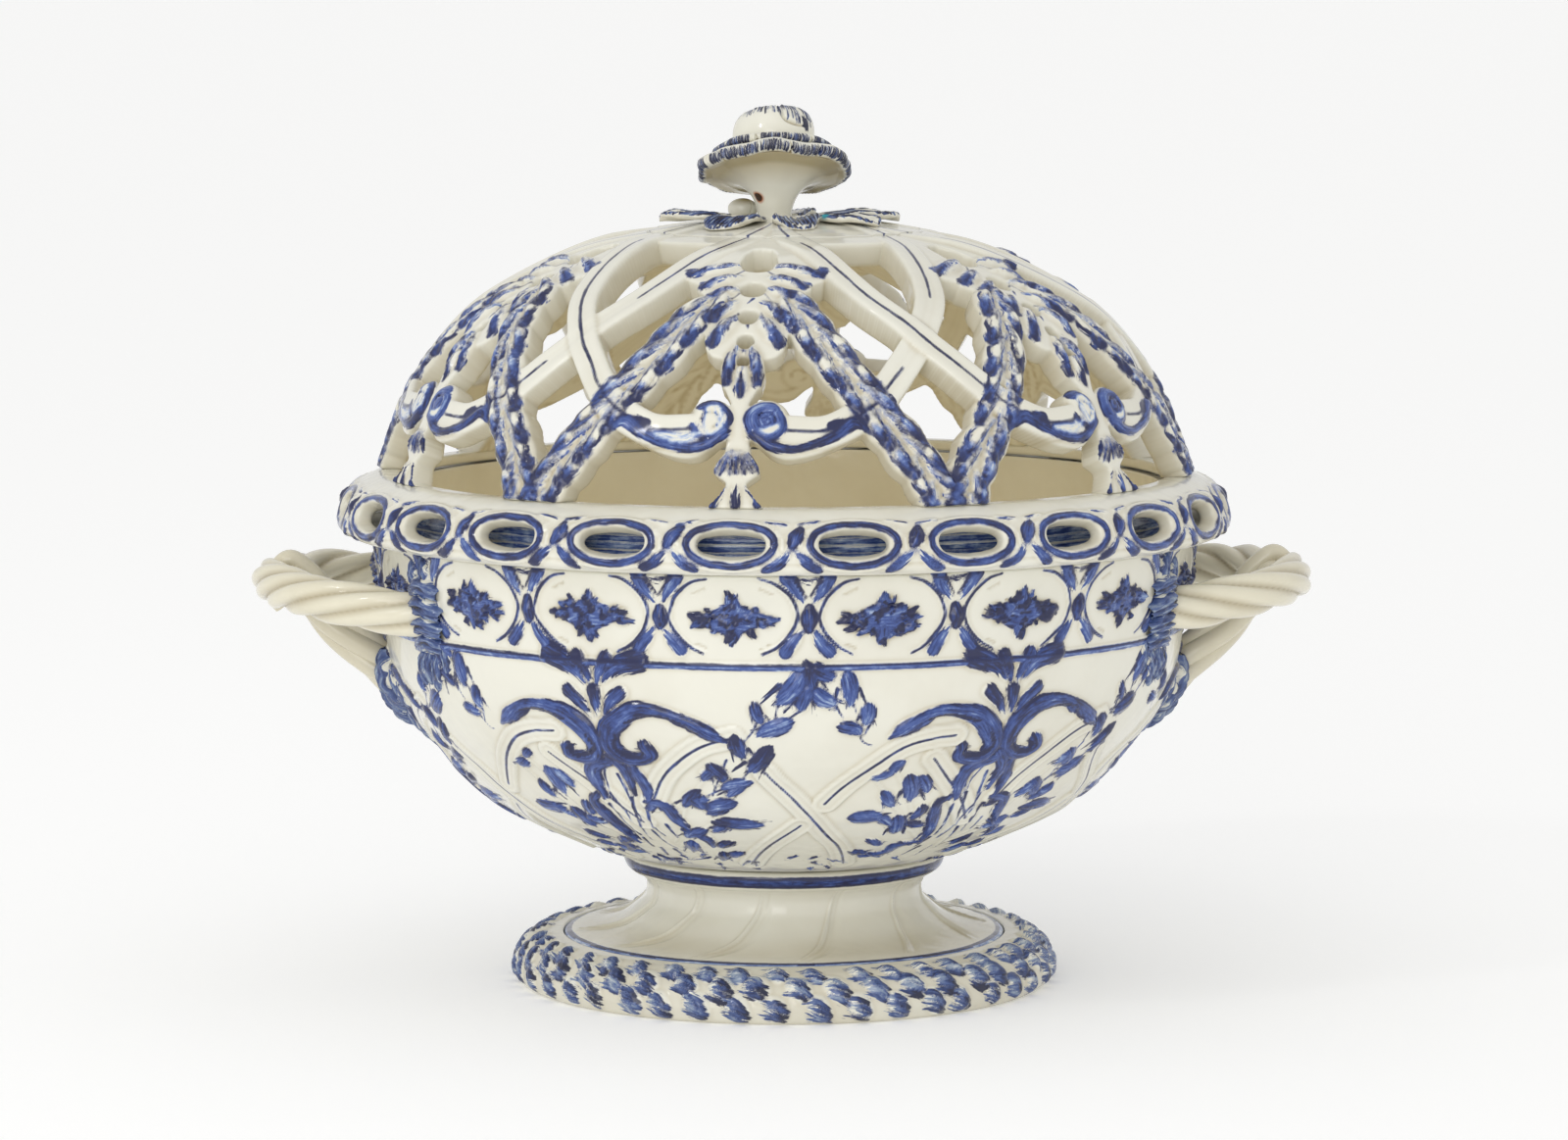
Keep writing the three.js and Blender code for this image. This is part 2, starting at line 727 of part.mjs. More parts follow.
function finialStem() {
  const shape = [
    [stemFootRadius, 0], [stemRadius + 1.4, 0.14], [stemRadius, 0.3], [stemRadius + 0.9, 0.5],
    [stemRadius + 3.2, 0.72], [stemRadius + 7.2, 0.88], [brimRadius * 0.72, 0.96], [brimRadius * 0.8, 1],
  ];
  const sides = 16;
  return loft(shape.map(([radius, up]) => {
    const lean = rad(headTilt) * THREE.MathUtils.smoothstep(up, 0.2, 1);
    const points = [];
    for (let i = 0; i < sides; i += 1) {
      const point = polar((360 * i) / sides, radius, 0).applyAxisAngle(new THREE.Vector3(1, 0, 0), -lean);
      points.push(point.add(new THREE.Vector3(0, 0, stemFoot + up * headHeight)));
    }
    return points;
  }));
}

// One tier of petals: a ring whose edge waves in and out, its outer lip turned up
function petalTier(radius, inner, thickness, petals, phase) {
  return turnedRing((angle) => {
    const wave = petalWave * Math.cos(rad(petals * angle + phase));
    const edge = radius - petalWave + wave;
    return [
      [inner, 0],
      [edge * 0.9, 0],
      [edge, 0.25 * thickness],
      [edge, 0.7 * thickness],
      [edge - 2.4, thickness + 0.3 * wave],
      [inner, thickness + 0.2],
    ];
  }, 20);
}

// Heart of the flower, petals folded over each other into two lobes
function flowerHeart() {
  const shape = [[0.93, 0], [1, 0.3], [0.97, 0.66], [0.72, 0.93], [0.36, 1]];
  const sides = 14;
  return loft(shape.map(([out, up]) => {
    const points = [];
    for (let i = 0; i < sides; i += 1) {
      const angle = (360 * i) / sides;
      const lobes = 1 + 0.05 * Math.cos(rad(2 * angle + 20));
      points.push(polar(angle, heartRadius * out * lobes, heartHeight * up));
    }
    return points;
  }));
}

// Flower head on the leaning end of the stem: brim, second tier and heart, each seated on the last
function flowerHead() {
  const head = new THREE.Group();
  head.position.set(0, 0, stemFoot + headHeight);
  head.rotation.x = -rad(headTilt);
  const tierSeat = seamGap + brimThickness + 0.2 + seamGap;
  const heartSeat = tierSeat + tierThickness + 0.2 + seamGap;
  const parts = [
    ['flower_brim', petalTier(brimRadius, 4, brimThickness, 6, 0), seamGap],
    ['flower_middle_petals', petalTier(tierRadius, 3, tierThickness, 5, 40), tierSeat],
    ['flower_heart', flowerHeart(), heartSeat],
  ];
  for (const [name, geometry, seat] of parts) {
    const mesh = piece(name, geometry, cobaltOnCream);
    mesh.position.z = seat;
    head.add(mesh);
  }
  return head;
}

// A calyx leaf lying on the crown, widest past its middle, with its tip lifted
function calyxLeaf({ angle, reach, slimness }) {
  const start = stemFootRadius + 2 * seamGap;
  const length = reach * crownRadius;
  const width = slimness * length;
  const widths = [0.3, 0.62, 0.92, 1, 0.8, 0.34];
  const rings = widths.map((share, i) => {
    const t = i / (widths.length - 1);
    const distance = start + t * (length - start);
    const half = (share * width) / 2;
    const lift = 1.6 * t ** 3;
    return [[-1, 0], [0, 0], [1, 0], [1, 0.7], [0, 1], [-1, 0.7]].map(([aside, top]) => {
      const flat = new THREE.Vector2(distance, aside * half);
      const radius = flat.length();
      const place = domeOutside.shareAtRadius(Math.max(radius, crownBossRadius), 0.3, 1);
      const bed = domeOutside.at(place)[1] + seamGap;
      const turn = THREE.MathUtils.radToDeg(flat.angle());
      return polar(angle + turn, radius, bed + lift + top * calyxThickness);
    });
  });
  return loft(rings);
}

// A closed bud laid on the crown behind the stem
function calyxBud() {
  const bed = domeOutside.at(domeOutside.shareAtRadius(budDistance, 0.3, 1))[1] + seamGap;
  const profile = [[0, 0], [0.6, 0], [0.95, 0.35], [0.92, 0.75], [0.55, 1.1], [0, 1.25]];
  const bud = turned(profile.map(([out, up]) => [out * budRadius, up * budRadius]), 9);
  const place = polar(budAngle, budDistance, bed);
  return bud.translate(place.x, place.y, place.z);
}

function cover() {
  const group = new THREE.Group();
  group.rotation.z = rad(coverTurn);
  group.add(piece('cover_flange', coverFlange(), cobaltOnCream));
  group.add(piece('cover_crown', coverCrown(), cream));
  for (let unit = 0; unit < unitCount; unit += 1) {
    const turn = rad(unit * unitAngle);
    const parts = [
      ['cover_palmette', palmette(), cobaltOnCream],
      ['cover_garland_left', garland(-1), cobaltOnCream],
      ['cover_garland_right', garland(1), cobaltOnCream],
      ['cover_ribbon_crossing', ribbonCrossing(), cream],
    ];
    for (const [name, geometry, look] of parts) {
      group.add(piece(`${name}_${unit + 1}`, geometry.rotateZ(turn), look));
    }
  }
  return group;
}

function finial() {
  const group = new THREE.Group();
  group.add(piece('finial_stem', finialStem(), cream));
  group.add(flowerHead());
  for (const leaf of calyxLeaves) {
    group.add(piece(`calyx_leaf_${leaf.name}`, calyxLeaf(leaf), cobaltOnCream));
  }
  group.add(piece('calyx_bud', calyxBud(), cream));
  return group;
}

const vase = new THREE.Group();
vase.add(piece('foot_leaf_ring', footLeafRing(), cobaltOnCream));
vase.add(piece('foot_pedestal', footPedestal(), cream));
vase.add(piece('bowl', bowl(), cream));
vase.add(handle(1, 'right'));
vase.add(handle(-1, 'left'));
vase.add(cover());
vase.add(finial());

export default vase;
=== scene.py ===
import math

import bpy
import numpy as np
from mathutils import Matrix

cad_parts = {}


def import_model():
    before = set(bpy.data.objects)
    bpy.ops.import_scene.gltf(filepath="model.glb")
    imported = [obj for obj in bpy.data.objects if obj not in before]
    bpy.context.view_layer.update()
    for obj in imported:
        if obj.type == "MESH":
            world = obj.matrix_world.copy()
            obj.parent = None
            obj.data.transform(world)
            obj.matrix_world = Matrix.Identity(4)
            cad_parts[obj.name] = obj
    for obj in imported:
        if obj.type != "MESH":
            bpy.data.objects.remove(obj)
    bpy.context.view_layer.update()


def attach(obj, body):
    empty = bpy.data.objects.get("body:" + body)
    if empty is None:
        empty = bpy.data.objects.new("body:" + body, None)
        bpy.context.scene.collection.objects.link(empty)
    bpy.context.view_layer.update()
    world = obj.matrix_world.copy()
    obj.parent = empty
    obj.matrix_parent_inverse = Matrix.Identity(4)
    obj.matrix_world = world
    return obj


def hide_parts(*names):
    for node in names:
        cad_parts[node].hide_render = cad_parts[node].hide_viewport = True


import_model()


# Studio: a wide pale sheet, lit a little from below as on a light table, even light all round, a softbox in
# front and a small lamp high on the left. A faint warm lamp inside stands for light that bounces in the bowl.
# The camera stands a little left of the front, 1.66 m away, and looks down by about six degrees.
camera_distance = 1.65714
camera_height = 0.30049
camera_turn = math.radians(-3.2)
look_down = math.radians(6.214)
sheet_reach = 60.0
bowl_middle = (0, 0, 0.118)
window_tilt = (math.radians(38), math.radians(-28), 0)


def linear_colour(hex_code):
    channels = [int(hex_code[i:i + 2], 16) / 255 for i in (0, 2, 4)]
    return [c / 12.92 if c <= 0.04045 else ((c + 0.055) / 1.055) ** 2.4 for c in channels] + [1.0]


def add_node(tree, kind, sockets=None, **settings):
    node = tree.nodes.new("ShaderNode" + kind)
    for name, value in settings.items():
        setattr(node, name, value)
    for key, value in (sockets or {}).items():
        if isinstance(value, bpy.types.NodeSocket):
            tree.links.new(value, node.inputs[key])
        else:
            node.inputs[key].default_value = value
    return node


def put_in_scene(name, data):
    thing = bpy.data.objects.new(name, data)
    bpy.context.scene.collection.objects.link(thing)
    return thing


def hang_lamp(name, kind, power, place=(0, 0, 0), tilt=(0, 0, 0), **settings):
    light = bpy.data.lights.new(name, kind)
    light.energy = power
    for key, value in settings.items():
        setattr(light, key, value)
    lamp = put_in_scene(name, light)
    lamp.location = place
    lamp.rotation_euler = tilt
    return lamp


lens = bpy.data.cameras.new("photo_camera")
lens.sensor_width = 36.0
lens.sensor_fit = "HORIZONTAL"
lens.lens = 131.27
lens.clip_end = 200.0
camera = put_in_scene("photo_camera", lens)
camera.location = (
    camera_distance * math.sin(camera_turn),
    -camera_distance * math.cos(camera_turn),
    camera_height,
)
camera.rotation_euler = (math.pi / 2 - look_down, 0, camera_turn)
bpy.context.scene.camera = camera

room = bpy.data.worlds.new("white_studio")
room.use_nodes = True
room.node_tree.nodes["Background"].inputs["Color"].default_value = linear_colour("FFFFFF")
room.node_tree.nodes["Background"].inputs["Strength"].default_value = 0.76
bpy.context.scene.world = room
bpy.context.scene.view_settings.view_transform = "Standard"

hang_lamp("window", "SUN", 0.2, tilt=window_tilt, angle=math.radians(42))
for name, power, place, side in (
    ("front_softbox", 9.0, (-0.6, -2.0, 0.5), 1.1),
    ("small_lamp", 1.5, (-1.15, -1.0, 1.2), 0.13),
):
    aim = np.array([0, 0, 0.12]) - place
    tilt = (math.acos(-aim[2] / np.linalg.norm(aim)), 0, math.atan2(-aim[0], aim[1]))
    hang_lamp(name, "AREA", power, place, tilt, size=side)
warm = linear_colour("FFEABF")[:3]
bounced = hang_lamp("light_bounced_inside", "POINT", 0.075, bowl_middle, color=warm, shadow_soft_size=0.045)
bounced.visible_camera = False
bounced.visible_glossy = False

sheet_mesh = bpy.data.meshes.new("paper_sheet")
corners = [(x * sheet_reach, y * sheet_reach, 0) for x, y in ((-1, -1), (1, -1), (1, 1), (-1, 1))]
sheet_mesh.from_pydata(corners, [], [(0, 1, 2, 3)])
sheet = put_in_scene("paper_sheet", sheet_mesh)
matt_paper = bpy.data.materials.new("matt_paper")
matt_paper.use_nodes = True
for socket, value in (
    ("Base Color", linear_colour("FBFBFA")),
    ("Roughness", 0.9),
    ("Emission Color", linear_colour("FFFFFF")),
    ("Emission Strength", 0.15),
):
    matt_paper.node_tree.nodes["Principled BSDF"].inputs[socket].default_value = value
sheet_mesh.materials.append(matt_paper)


# Foot ring: a moulded roll of cream earthenware, pressed with three rows of overlapping leaves and
# daubed by brush with cobalt, leaf by leaf. It is luted under the pedestal before firing.
leaf_count = 43
wander = np.random.default_rng(1780)


# A curve through a few points, as a brush or a roll of clay follows them
def smooth_line(points, steps=6):
    p = np.array(points, float)
    if len(p) == 2:
        return p
    p = np.vstack([2 * p[0] - p[1], p, 2 * p[-1] - p[-2]])
    t = np.linspace(0, 1, steps, endpoint=False)[:, None]
    spans = []
    for a, b, c, d in zip(p[:-3], p[1:-2], p[2:-1], p[3:]):
        bend = 2 * b + (c - a) * t + (2 * a - 5 * b + 4 * c - d) * t ** 2 + (3 * b - a - 3 * c + d) * t ** 3
        spans.append(bend / 2)
    return np.vstack(spans + [p[-2:-1]])


# A turned profile of [radius, height], sampled evenly along its length
def turned_profile(points, spacing):
    leg = np.hypot(*np.diff(points, axis=0).T)
    travelled = np.concatenate([[0], np.cumsum(leg)])
    arcs = np.linspace(0, travelled[-1], int(round(travelled[-1] / spacing)) + 1)
    line = np.column_stack([np.interp(arcs, travelled, points[:, n]) for n in (0, 1)])
    slope = np.gradient(line, arcs, axis=0)
    slope /= np.linalg.norm(slope, axis=1)[:, None]
    outward = np.column_stack([slope[:, 1], -slope[:, 0]])
    return arcs, line, outward


# The rise of pressed clay: nothing at its edge, and its full height one shoulder further in
def bevelled(height, inside, shoulder):
    rise = np.clip(inside / shoulder, 0, 1)
    return height * rise * rise * (3 - 2 * rise)


# A turned clay wall opened flat: degrees round the axis, and millimetres along its profile.
# It holds what the modeller presses into the clay and what the painter lays over it.
class ClayWall:
    def __init__(self, profile, columns, spacing):
        self.arcs, self.line, self.outward = turned_profile(np.array(profile, float), spacing)
        self.angles = np.arange(columns) * 360 / columns
        size = (len(self.arcs), columns)
        self.relief = np.zeros(size)
        self.paint = np.full(size, -3.0)
        self.brush = np.zeros(size + (3,))
        self.tone = np.zeros(size + (3,))
        self.pool = np.zeros(size)

    def radius_at(self, arc):
        return np.interp(arc, self.arcs, self.line[:, 0])

    def arc_at_height(self, height):
        return np.interp(height, self.line[:, 1], self.arcs)

    def spot_near(self, line, reach):
        rows = np.nonzero((self.arcs > line[:, 1].min() - reach) & (self.arcs < line[:, 1].max() + reach))[0]
        if len(rows) == 0:
            return None
        widest = min(90, np.degrees(reach / self.line[rows, 0].min()))
        step = 360 / len(self.angles)
        first = math.floor((line[:, 0].min() - widest) / step)
        last = math.ceil((line[:, 0].max() + widest) / step)
        return rows, np.arange(first, last + 1)

    # How far each spot lies inside a band along a path: inside, across, run and share of the run
    def follow(self, path, widths, margin=1.5):
        line = smooth_line(path)
        spot = self.spot_near(line, max(widths) / 2 + margin)
        if spot is None:
            return None
        rows, columns = spot
        turn = np.radians(columns * 360 / len(self.angles))[None, :]
        radius = self.line[rows, 0][:, None]
        arcs = self.arcs[rows][:, None]
        leg = np.hypot(
            np.radians(np.diff(line[:, 0])) * self.radius_at(line[:-1, 1]),
            np.diff(line[:, 1]),
        )
        travelled = np.concatenate([[0], np.cumsum(leg)])
        share = travelled / travelled[-1]
        half = np.interp(share, np.linspace(0, 1, len(widths)), widths) / 2
        inside = np.full((len(rows), len(columns)), -9.0)
        across = np.zeros_like(inside)
        run = np.zeros_like(inside)
        for n in range(len(leg)):
            if leg[n] < 1e-6:
                continue
            out = np.radians(line[n + 1, 0] - line[n, 0]) * self.radius_at((line[n, 1] + line[n + 1, 1]) / 2)
            up = line[n + 1, 1] - line[n, 1]
            length = math.hypot(out, up)
            dx = (turn - math.radians(line[n, 0])) * radius
            dy = arcs - line[n, 1]
            t = np.clip((dx * out + dy * up) / length ** 2, 0, 1)
            away = np.hypot(dx - t * out, dy - t * up)
            depth = half[n] + t * (half[n + 1] - half[n]) - away
            nearer = depth > inside
            side = (dx * up - dy * out) / length
            inside = np.where(nearer, depth, inside)
            across = np.where(nearer, side, across)
            run = np.where(nearer, travelled[n] + t * leg[n], run)
        place = np.ix_(rows, columns % len(self.angles))
        return place, inside, across, run, run / travelled[-1]

    # Raises or, with a height below zero, sinks the clay along a path; the shoulder is its bevel
    def press(self, path, widths, height, shoulder=0.8):
        found = self.follow(path, widths)
        if found:
            place, inside = found[:2]
            rise = bevelled(height, inside, shoulder)
            here = self.relief[place]
            self.relief[place] = np.maximum(here, rise) if height > 0 else here + rise

    # The record of one stroke where it lies on top: how deep inside it, where along it, how it was loaded
    def lay(self, place, over, inside, across, run, mood):
        self.paint[place] = np.where(over, np.maximum(inside, self.paint[place]), self.paint[place])
        mark = np.stack([across, run, np.full_like(run, wander.uniform(0, 40))], axis=-1)
        self.brush[place] = np.where(over[..., None], mark, self.brush[place])
        self.tone[place] = np.where(over[..., None], mood, self.tone[place])

    # Lays a brush stroke of cobalt; load is how full the brush is, fade how much it runs dry
    def stroke(self, path, widths, load=0.75, fray=0.3, dark=0.25, fade=0.25, shake=0.25, atop=False):
        path = np.array(path, float)
        path[:, 1] += wander.normal(0, shake, len(path))
        path[:, 0] += np.degrees(wander.normal(0, shake, len(path)) / self.radius_at(path[:, 1]))
        found = self.follow(path, widths)
        if not found:
            return
        place, inside, across, run, share = found
        load = load * (1 + wander.normal(0, 0.08))
        mood = np.stack([
            np.clip(load * (1 - fade * share), -1, 1),
            np.clip(fray * (0.45 + 0.8 * share), 0, 1),
            np.full_like(run, dark),
        ], axis=-1)
        over = (inside > self.paint[place]) | (atop & (inside > 0.1))
        self.lay(place, over, inside, across, run, mood)

    # A path that is pressed and painted, each with widths and settings of its own
    def work(self, path, pressed, painted, **brush):
        self.press(path, *pressed)
        self.stroke(path, *painted, **brush)

    # A line drawn while the wheel turns: it closes on itself and wavers a little
    def ring(self, arc, width, load=0.7, dark=0.4, sway=0.12, fray=0.1, atop=False):
        turn = np.radians(self.angles)
        phase = wander.uniform(0, 6, 3)
        middle = arc + sway * (np.sin(3 * turn + phase[0]) + 0.7 * np.sin(8 * turn + phase[1])
                               + 0.5 * np.sin(17 * turn + phase[2]))
        across = self.arcs[:, None] - middle[None, :]
        inside = width / 2 - abs(across)
        over = (inside > np.maximum(self.paint, -1.5)) | (atop & (inside > 0))
        run = np.broadcast_to(self.line[:, 0][:, None] * turn[None, :], across.shape)
        self.lay(..., over, inside, across, run, [load, fray, dark])

    def press_ring(self, arc, width, height, shoulder=0.8):
        self.relief += bevelled(height, width / 2 - abs(self.arcs - arc), shoulder)[:, None]


# How deep each spot lies in a hollow of the relief: glaze gathers there, and its khaki
# also stands as painted shade in the creases
def finished_relief(wall):
    hollow = -wall.relief
    for _ in range(3):
        hollow = (np.roll(hollow, 1, 1) + np.roll(hollow, -1, 1) + 2 * hollow) / 4
        hollow[1:-1] = (hollow[:-2] + hollow[2:] + 2 * hollow[1:-1]) / 4
    return np.clip((hollow + wall.relief) * -1.6, 0, 1)


# Points round the vase's axis; a turn of nothing faces the front
def round_axis(radius, turn, height):
    return np.stack([radius * np.sin(turn), -radius * np.cos(turn), height + 0 * turn], axis=-1)


# Points of a clay wall, pushed out by its relief
def wall_points(wall):
    radius = wall.line[:, :1] + wall.relief * wall.outward[:, :1]
    height = wall.line[:, 1:] + wall.relief * wall.outward[:, 1:]
    return round_axis(radius, np.radians(wall.angles)[None, :], height)


def ring_points(profile, columns):
    line = np.array(profile, float)
    return round_axis(line[:, :1], np.radians(np.arange(columns) * 360 / columns)[None, :], line[:, 1:])


# Quads between the rows of a grid that goes round the axis; closed joins its last row to its first
def ring_faces(rows, columns, closed):
    i = np.arange(rows if closed else rows - 1)[:, None]
    j = np.arange(columns)[None, :]
    here = i * columns
    above = (i + 1) % rows * columns
    beside = (j + 1) % columns
    return np.stack([here + j, here + beside, above + beside, above + j], axis=-1).reshape(-1, 4)


# A fired piece as a mesh: points in millimetres, with the painter's record at each of them
def fired_piece(name, points, quads, glaze, body, marks, nodes=None, fans=()):
    points = np.asarray(points, float).reshape(-1, 3)
    quads = np.asarray(quads, int).reshape(-1, 4)
    fans = np.asarray(fans, int).reshape(-1, 3)
    mesh = bpy.data.meshes.new(name)
    mesh.vertices.add(len(points))
    mesh.vertices.foreach_set("co", (points / 1000).astype(np.float32).ravel())
    mesh.loops.add(quads.size + fans.size)
    mesh.loops.foreach_set("vertex_index", np.concatenate([quads.ravel(), fans.ravel()]).astype(np.int32))
    mesh.polygons.add(len(quads) + len(fans))
    starts = np.concatenate([np.arange(len(quads)) * 4, quads.size + np.arange(len(fans)) * 3])
    mesh.polygons.foreach_set("loop_start", starts.astype(np.int32))
    mesh.update(calc_edges=True)
    mesh.shade_smooth()
    for key, values in marks.items():
        kind, field = ("FLOAT", "value") if values.size == len(points) else ("FLOAT_VECTOR", "vector")
        record = mesh.attributes.new(key, kind, "POINT").data
        record.foreach_set(field, values.astype(np.float32).ravel())
    mesh.materials.append(glaze)
    thing = put_in_scene(name, mesh)
    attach(thing, body)
    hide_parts(*(nodes or [name]))


# The painter's record of unpainted clay, with so much khaki at each point, for pooled glaze and painted shade
def bare_marks(pool):
    pool = np.ravel(pool)
    none = np.zeros((pool.size, 3))
    return {"paint": np.full(pool.size, -3.0), "brush": none, "tone": none, "pool": pool}


def joined_marks(*parts):
    return {key: np.concatenate([part[key] for part in parts]) for key in parts[0]}


# The painter's record of a wall, followed by bare rows for the rest of the piece,
# which carry so much painted shade
def wall_marks(wall, bare_points, bare_shade=0.0):
    painted = {
        "paint": wall.paint.ravel(),
        "brush": wall.brush.reshape(-1, 3),
        "tone": wall.tone.reshape(-1, 3),
        "pool": (wall.pool + finished_relief(wall)).ravel(),
    }
    return joined_marks(painted, bare_marks(np.full(bare_points, bare_shade)))


# A turned piece: its painted wall, closed by the bare profile that follows it. The grid is the wall's points
# where they are bent out of round, and moved is a function that sets the whole piece in its place.
def turned_piece(name, wall, bare, glaze, body, bare_shade=0.0, grid=None, moved=None):
    columns = len(wall.angles)
    points = np.concatenate([wall_points(wall) if grid is None else grid, ring_points(bare, columns)])
    if moved:
        points = moved(points)
    marks = wall_marks(wall, len(bare) * columns, bare_shade)
    fired_piece(name, points, ring_faces(len(points), columns, True), glaze, body, marks)


# How strongly a speck of iron or copper, burnt into the glaze, shows at each point
def fleck_at(points, spot, size):
    away = np.linalg.norm(np.asarray(points).reshape(-1, 3) - spot, axis=1)
    return np.clip(1.2 - away / size, 0, 1)


# Cobalt under the glaze, from a pale wash to ink; on the foot, the flower and the leaves it fired smokier
fine_cobalt = ((0.08, "C8D3E3"), (0.3, "8DA1C6"), (0.52, "4A609E"), (0.74, "31447F"), (0.95, "262A4E"))
smoky_cobalt = ((0.08, "C9CFD1"), (0.3, "8C9AAE"), (0.52, "4C5F90"), (0.74, "313F6C"), (0.95, "282B42"))


# Lead glaze over cream earthenware: a glossy, faintly yellow skin that gathers khaki in the hollows.
# The same khaki is painted as shade inside and under parts. Cobalt under it shows as brush marks with
# hairs and ragged ends, darker at their rims, in the hollows and where shade is painted.
def cobalt_under_glaze(name, clay_colour="E6E4D7", pool_and_shade_colour="A8976A", inks=fine_cobalt):
    material = bpy.data.materials.new(name)
    material.use_nodes = True
    tree = material.node_tree
    tree.nodes.clear()
    output = add_node(tree, "OutputMaterial")
    here = add_node(tree, "TexCoord").outputs["Object"]

    def record(key, field="Fac"):
        return add_node(tree, "Attribute", attribute_name=key).outputs[field]

    def maths(operation, a, b, c=0.0, clamp=False):
        return add_node(tree, "Math", {0: a, 1: b, 2: c}, operation=operation, use_clamp=clamp).outputs[0]

    def noise(vector, scale, detail, rough=0.5):
        sockets = {"Vector": vector, "Scale": scale, "Detail": detail, "Roughness": rough}
        return add_node(tree, "TexNoise", sockets).outputs["Fac"]

    def mapped(value, low, high, to_low, to_high, kind="LINEAR"):
        sockets = {0: value, 1: low, 2: high, 3: to_low, 4: to_high}
        return add_node(tree, "MapRange", sockets, interpolation_type=kind).outputs[0]

    def mixed(share, one, other):
        return add_node(tree, "Mix", {0: share, 6: one, 7: other}, data_type="RGBA").outputs[2]

    pool = record("pool")
    load, fray, dark = add_node(tree, "SeparateXYZ", {0: record("tone", "Vector")}).outputs
    hair_run = {0: record("brush", "Vector"), 1: (1.45, 0.17, 13.7)}
    hairs = noise(add_node(tree, "VectorMath", hair_run, operation="MULTIPLY").outputs[0], 1.0, 3.0, 0.6)
    ragged = maths("MULTIPLY_ADD", fray, 5.0, 0.1)
    edge = maths("MULTIPLY_ADD", maths("SUBTRACT", hairs, 0.52), ragged, record("paint"))
    shiver = maths("MULTIPLY_ADD", fray, 0.9, 0.15)
    edge = maths("MULTIPLY_ADD", maths("SUBTRACT", noise(here, 620.0, 2.0), 0.5), shiver, edge)
    depth = maths("MULTIPLY_ADD", hairs, 1.35, -0.66)
    depth = maths("ADD", depth, mapped(edge, 0.0, 0.35, -0.32, 0.0))
    depth = maths("ADD", depth, load)
    depth = maths("MULTIPLY_ADD", noise(here, 230.0, 3.0, 0.65), 0.7, depth)
    depth = maths("SUBTRACT", depth, 0.41)
    depth = maths("ADD", depth, mapped(edge, 0.3, 0.9, 0.12, 0.0, "SMOOTHSTEP"))
    depth = maths("MULTIPLY_ADD", pool, 0.55, depth)
    depth = maths("MULTIPLY_ADD", dark, 0.2, depth)
    ink = add_node(tree, "ValToRGB", {0: depth})
    stops = ink.color_ramp.elements
    while len(stops) < len(inks):
        stops.new(0.5)
    for stop, (place, colour) in zip(stops, inks):
        stop.position = place
        stop.color = linear_colour(colour)
    gathered_and_shaded = maths("MULTIPLY_ADD", noise(here, 24.0, 4.0, 0.6), 0.5, -0.22)
    gathered_and_shaded = maths("ADD", gathered_and_shaded, pool, clamp=True)
    clay = mixed(gathered_and_shaded, linear_colour(clay_colour), linear_colour(pool_and_shade_colour))
    covered = mapped(edge, -0.15, 0.3, 0.0, 1.0, "SMOOTHSTEP")
    shown = maths("MULTIPLY", covered, mapped(depth, -0.02, 0.2, 0.0, 1.0))
    colour = mixed(shown, clay, ink.outputs[0])
    fleck = record("fleck")
    for gain, less, tint in ((1.0, 0.0, "B4622A"), (2.5, -0.9, "3A2418"), (-1.0, 0.0, "2FA3B4")):
        amount = maths("MULTIPLY_ADD", fleck, gain, less)
        colour = mixed(maths("MULTIPLY", amount, 2.0, clamp=True), colour, linear_colour(tint))
    waves = add_node(tree, "Bump", {"Height": noise(here, 95.0, 2.0), "Strength": 0.12, "Distance": 0.004})
    skin = {"Base Color": colour, "Roughness": 0.13, "IOR": 1.5, "Normal": waves.outputs[0]}
    tree.links.new(add_node(tree, "BsdfPrincipled", skin).outputs[0], output.inputs[0])
    return material


cobalt_glaze = cobalt_under_glaze("cobalt_under_lead_glaze")
smoky_glaze = cobalt_under_glaze("smoky_cobalt_under_lead_glaze", inks=smoky_cobalt)

foot_profile = smooth_line([
    [76.3, 0.1], [77.6, 1.1], [78.4, 3], [78.6, 5], [78.1, 7.3], [76.9, 9.6],
    [74.6, 11.8], [71.6, 13.4], [68.6, 14.2], [66.2, 14.4], [64.9, 14.5],
], 12)
foot_wall = ClayWall(foot_profile, 1080, 0.45)
leaf_step = 360 / leaf_count
for top, tip, broad, lean, shift, load in (
    (19.8, 13.2, 7.4, 1.4, 0.5, 0.66),
    (15, 7.6, 8.6, 1.8, 0, 0.85),
    (8.6, 2, 8.2, 1.4, 0.5, 0.9),
):
    for n in range(leaf_count):
        angle = (n + shift) * leaf_step + wander.normal(0, 0.5)
        middle = (top + tip) / 2 + wander.normal(0, 0.4)
        path = [[angle - lean, top], [angle + 0.2 * lean, middle], [angle + lean, tip]]
        width = broad * wander.uniform(0.85, 1.1)
        foot_wall.press(path, [0.5 * width, width, 0.9 * width, 0.2 * width], 1.5, 0.45 * width)
        foot_wall.press(path, [0.6, 1.2, 0.4], -0.4, 0.6)
        full = wander.uniform(0.7, 1.3)
        for up, reach in ((1.9, 0.4), (0.3, 1.1), (-1.3, 1.2), (-2.7, 0.7)):
            daub = [[angle + reach + 1.0, middle + up - 0.8], [angle + reach - 1.0, middle + up + 0.3],
                    [angle + reach - 2.9 - full, middle + up + 1.2]]
            wetness = load * wander.uniform(0.5, 1.2)
            body = [1.7, 2.8 * full, 2.4 * full, 0.8]
            foot_wall.stroke(daub, body, wetness, 0.95, wander.uniform(0.2, 1.1), 0.8, 0.3)
# Khaki where the relief lies low between the leaves: glaze gathered there, and painted shade in the gaps
foot_wall.pool += 0.45 * np.clip(0.5 - foot_wall.relief, 0, 0.5)
foot_inside = [[64.6, 14], [64.6, 8], [67, 0.6], [68.5, 0], [75.9, 0]]
turned_piece("foot_leaf_ring", foot_wall, foot_inside, smoky_glaze, "base")


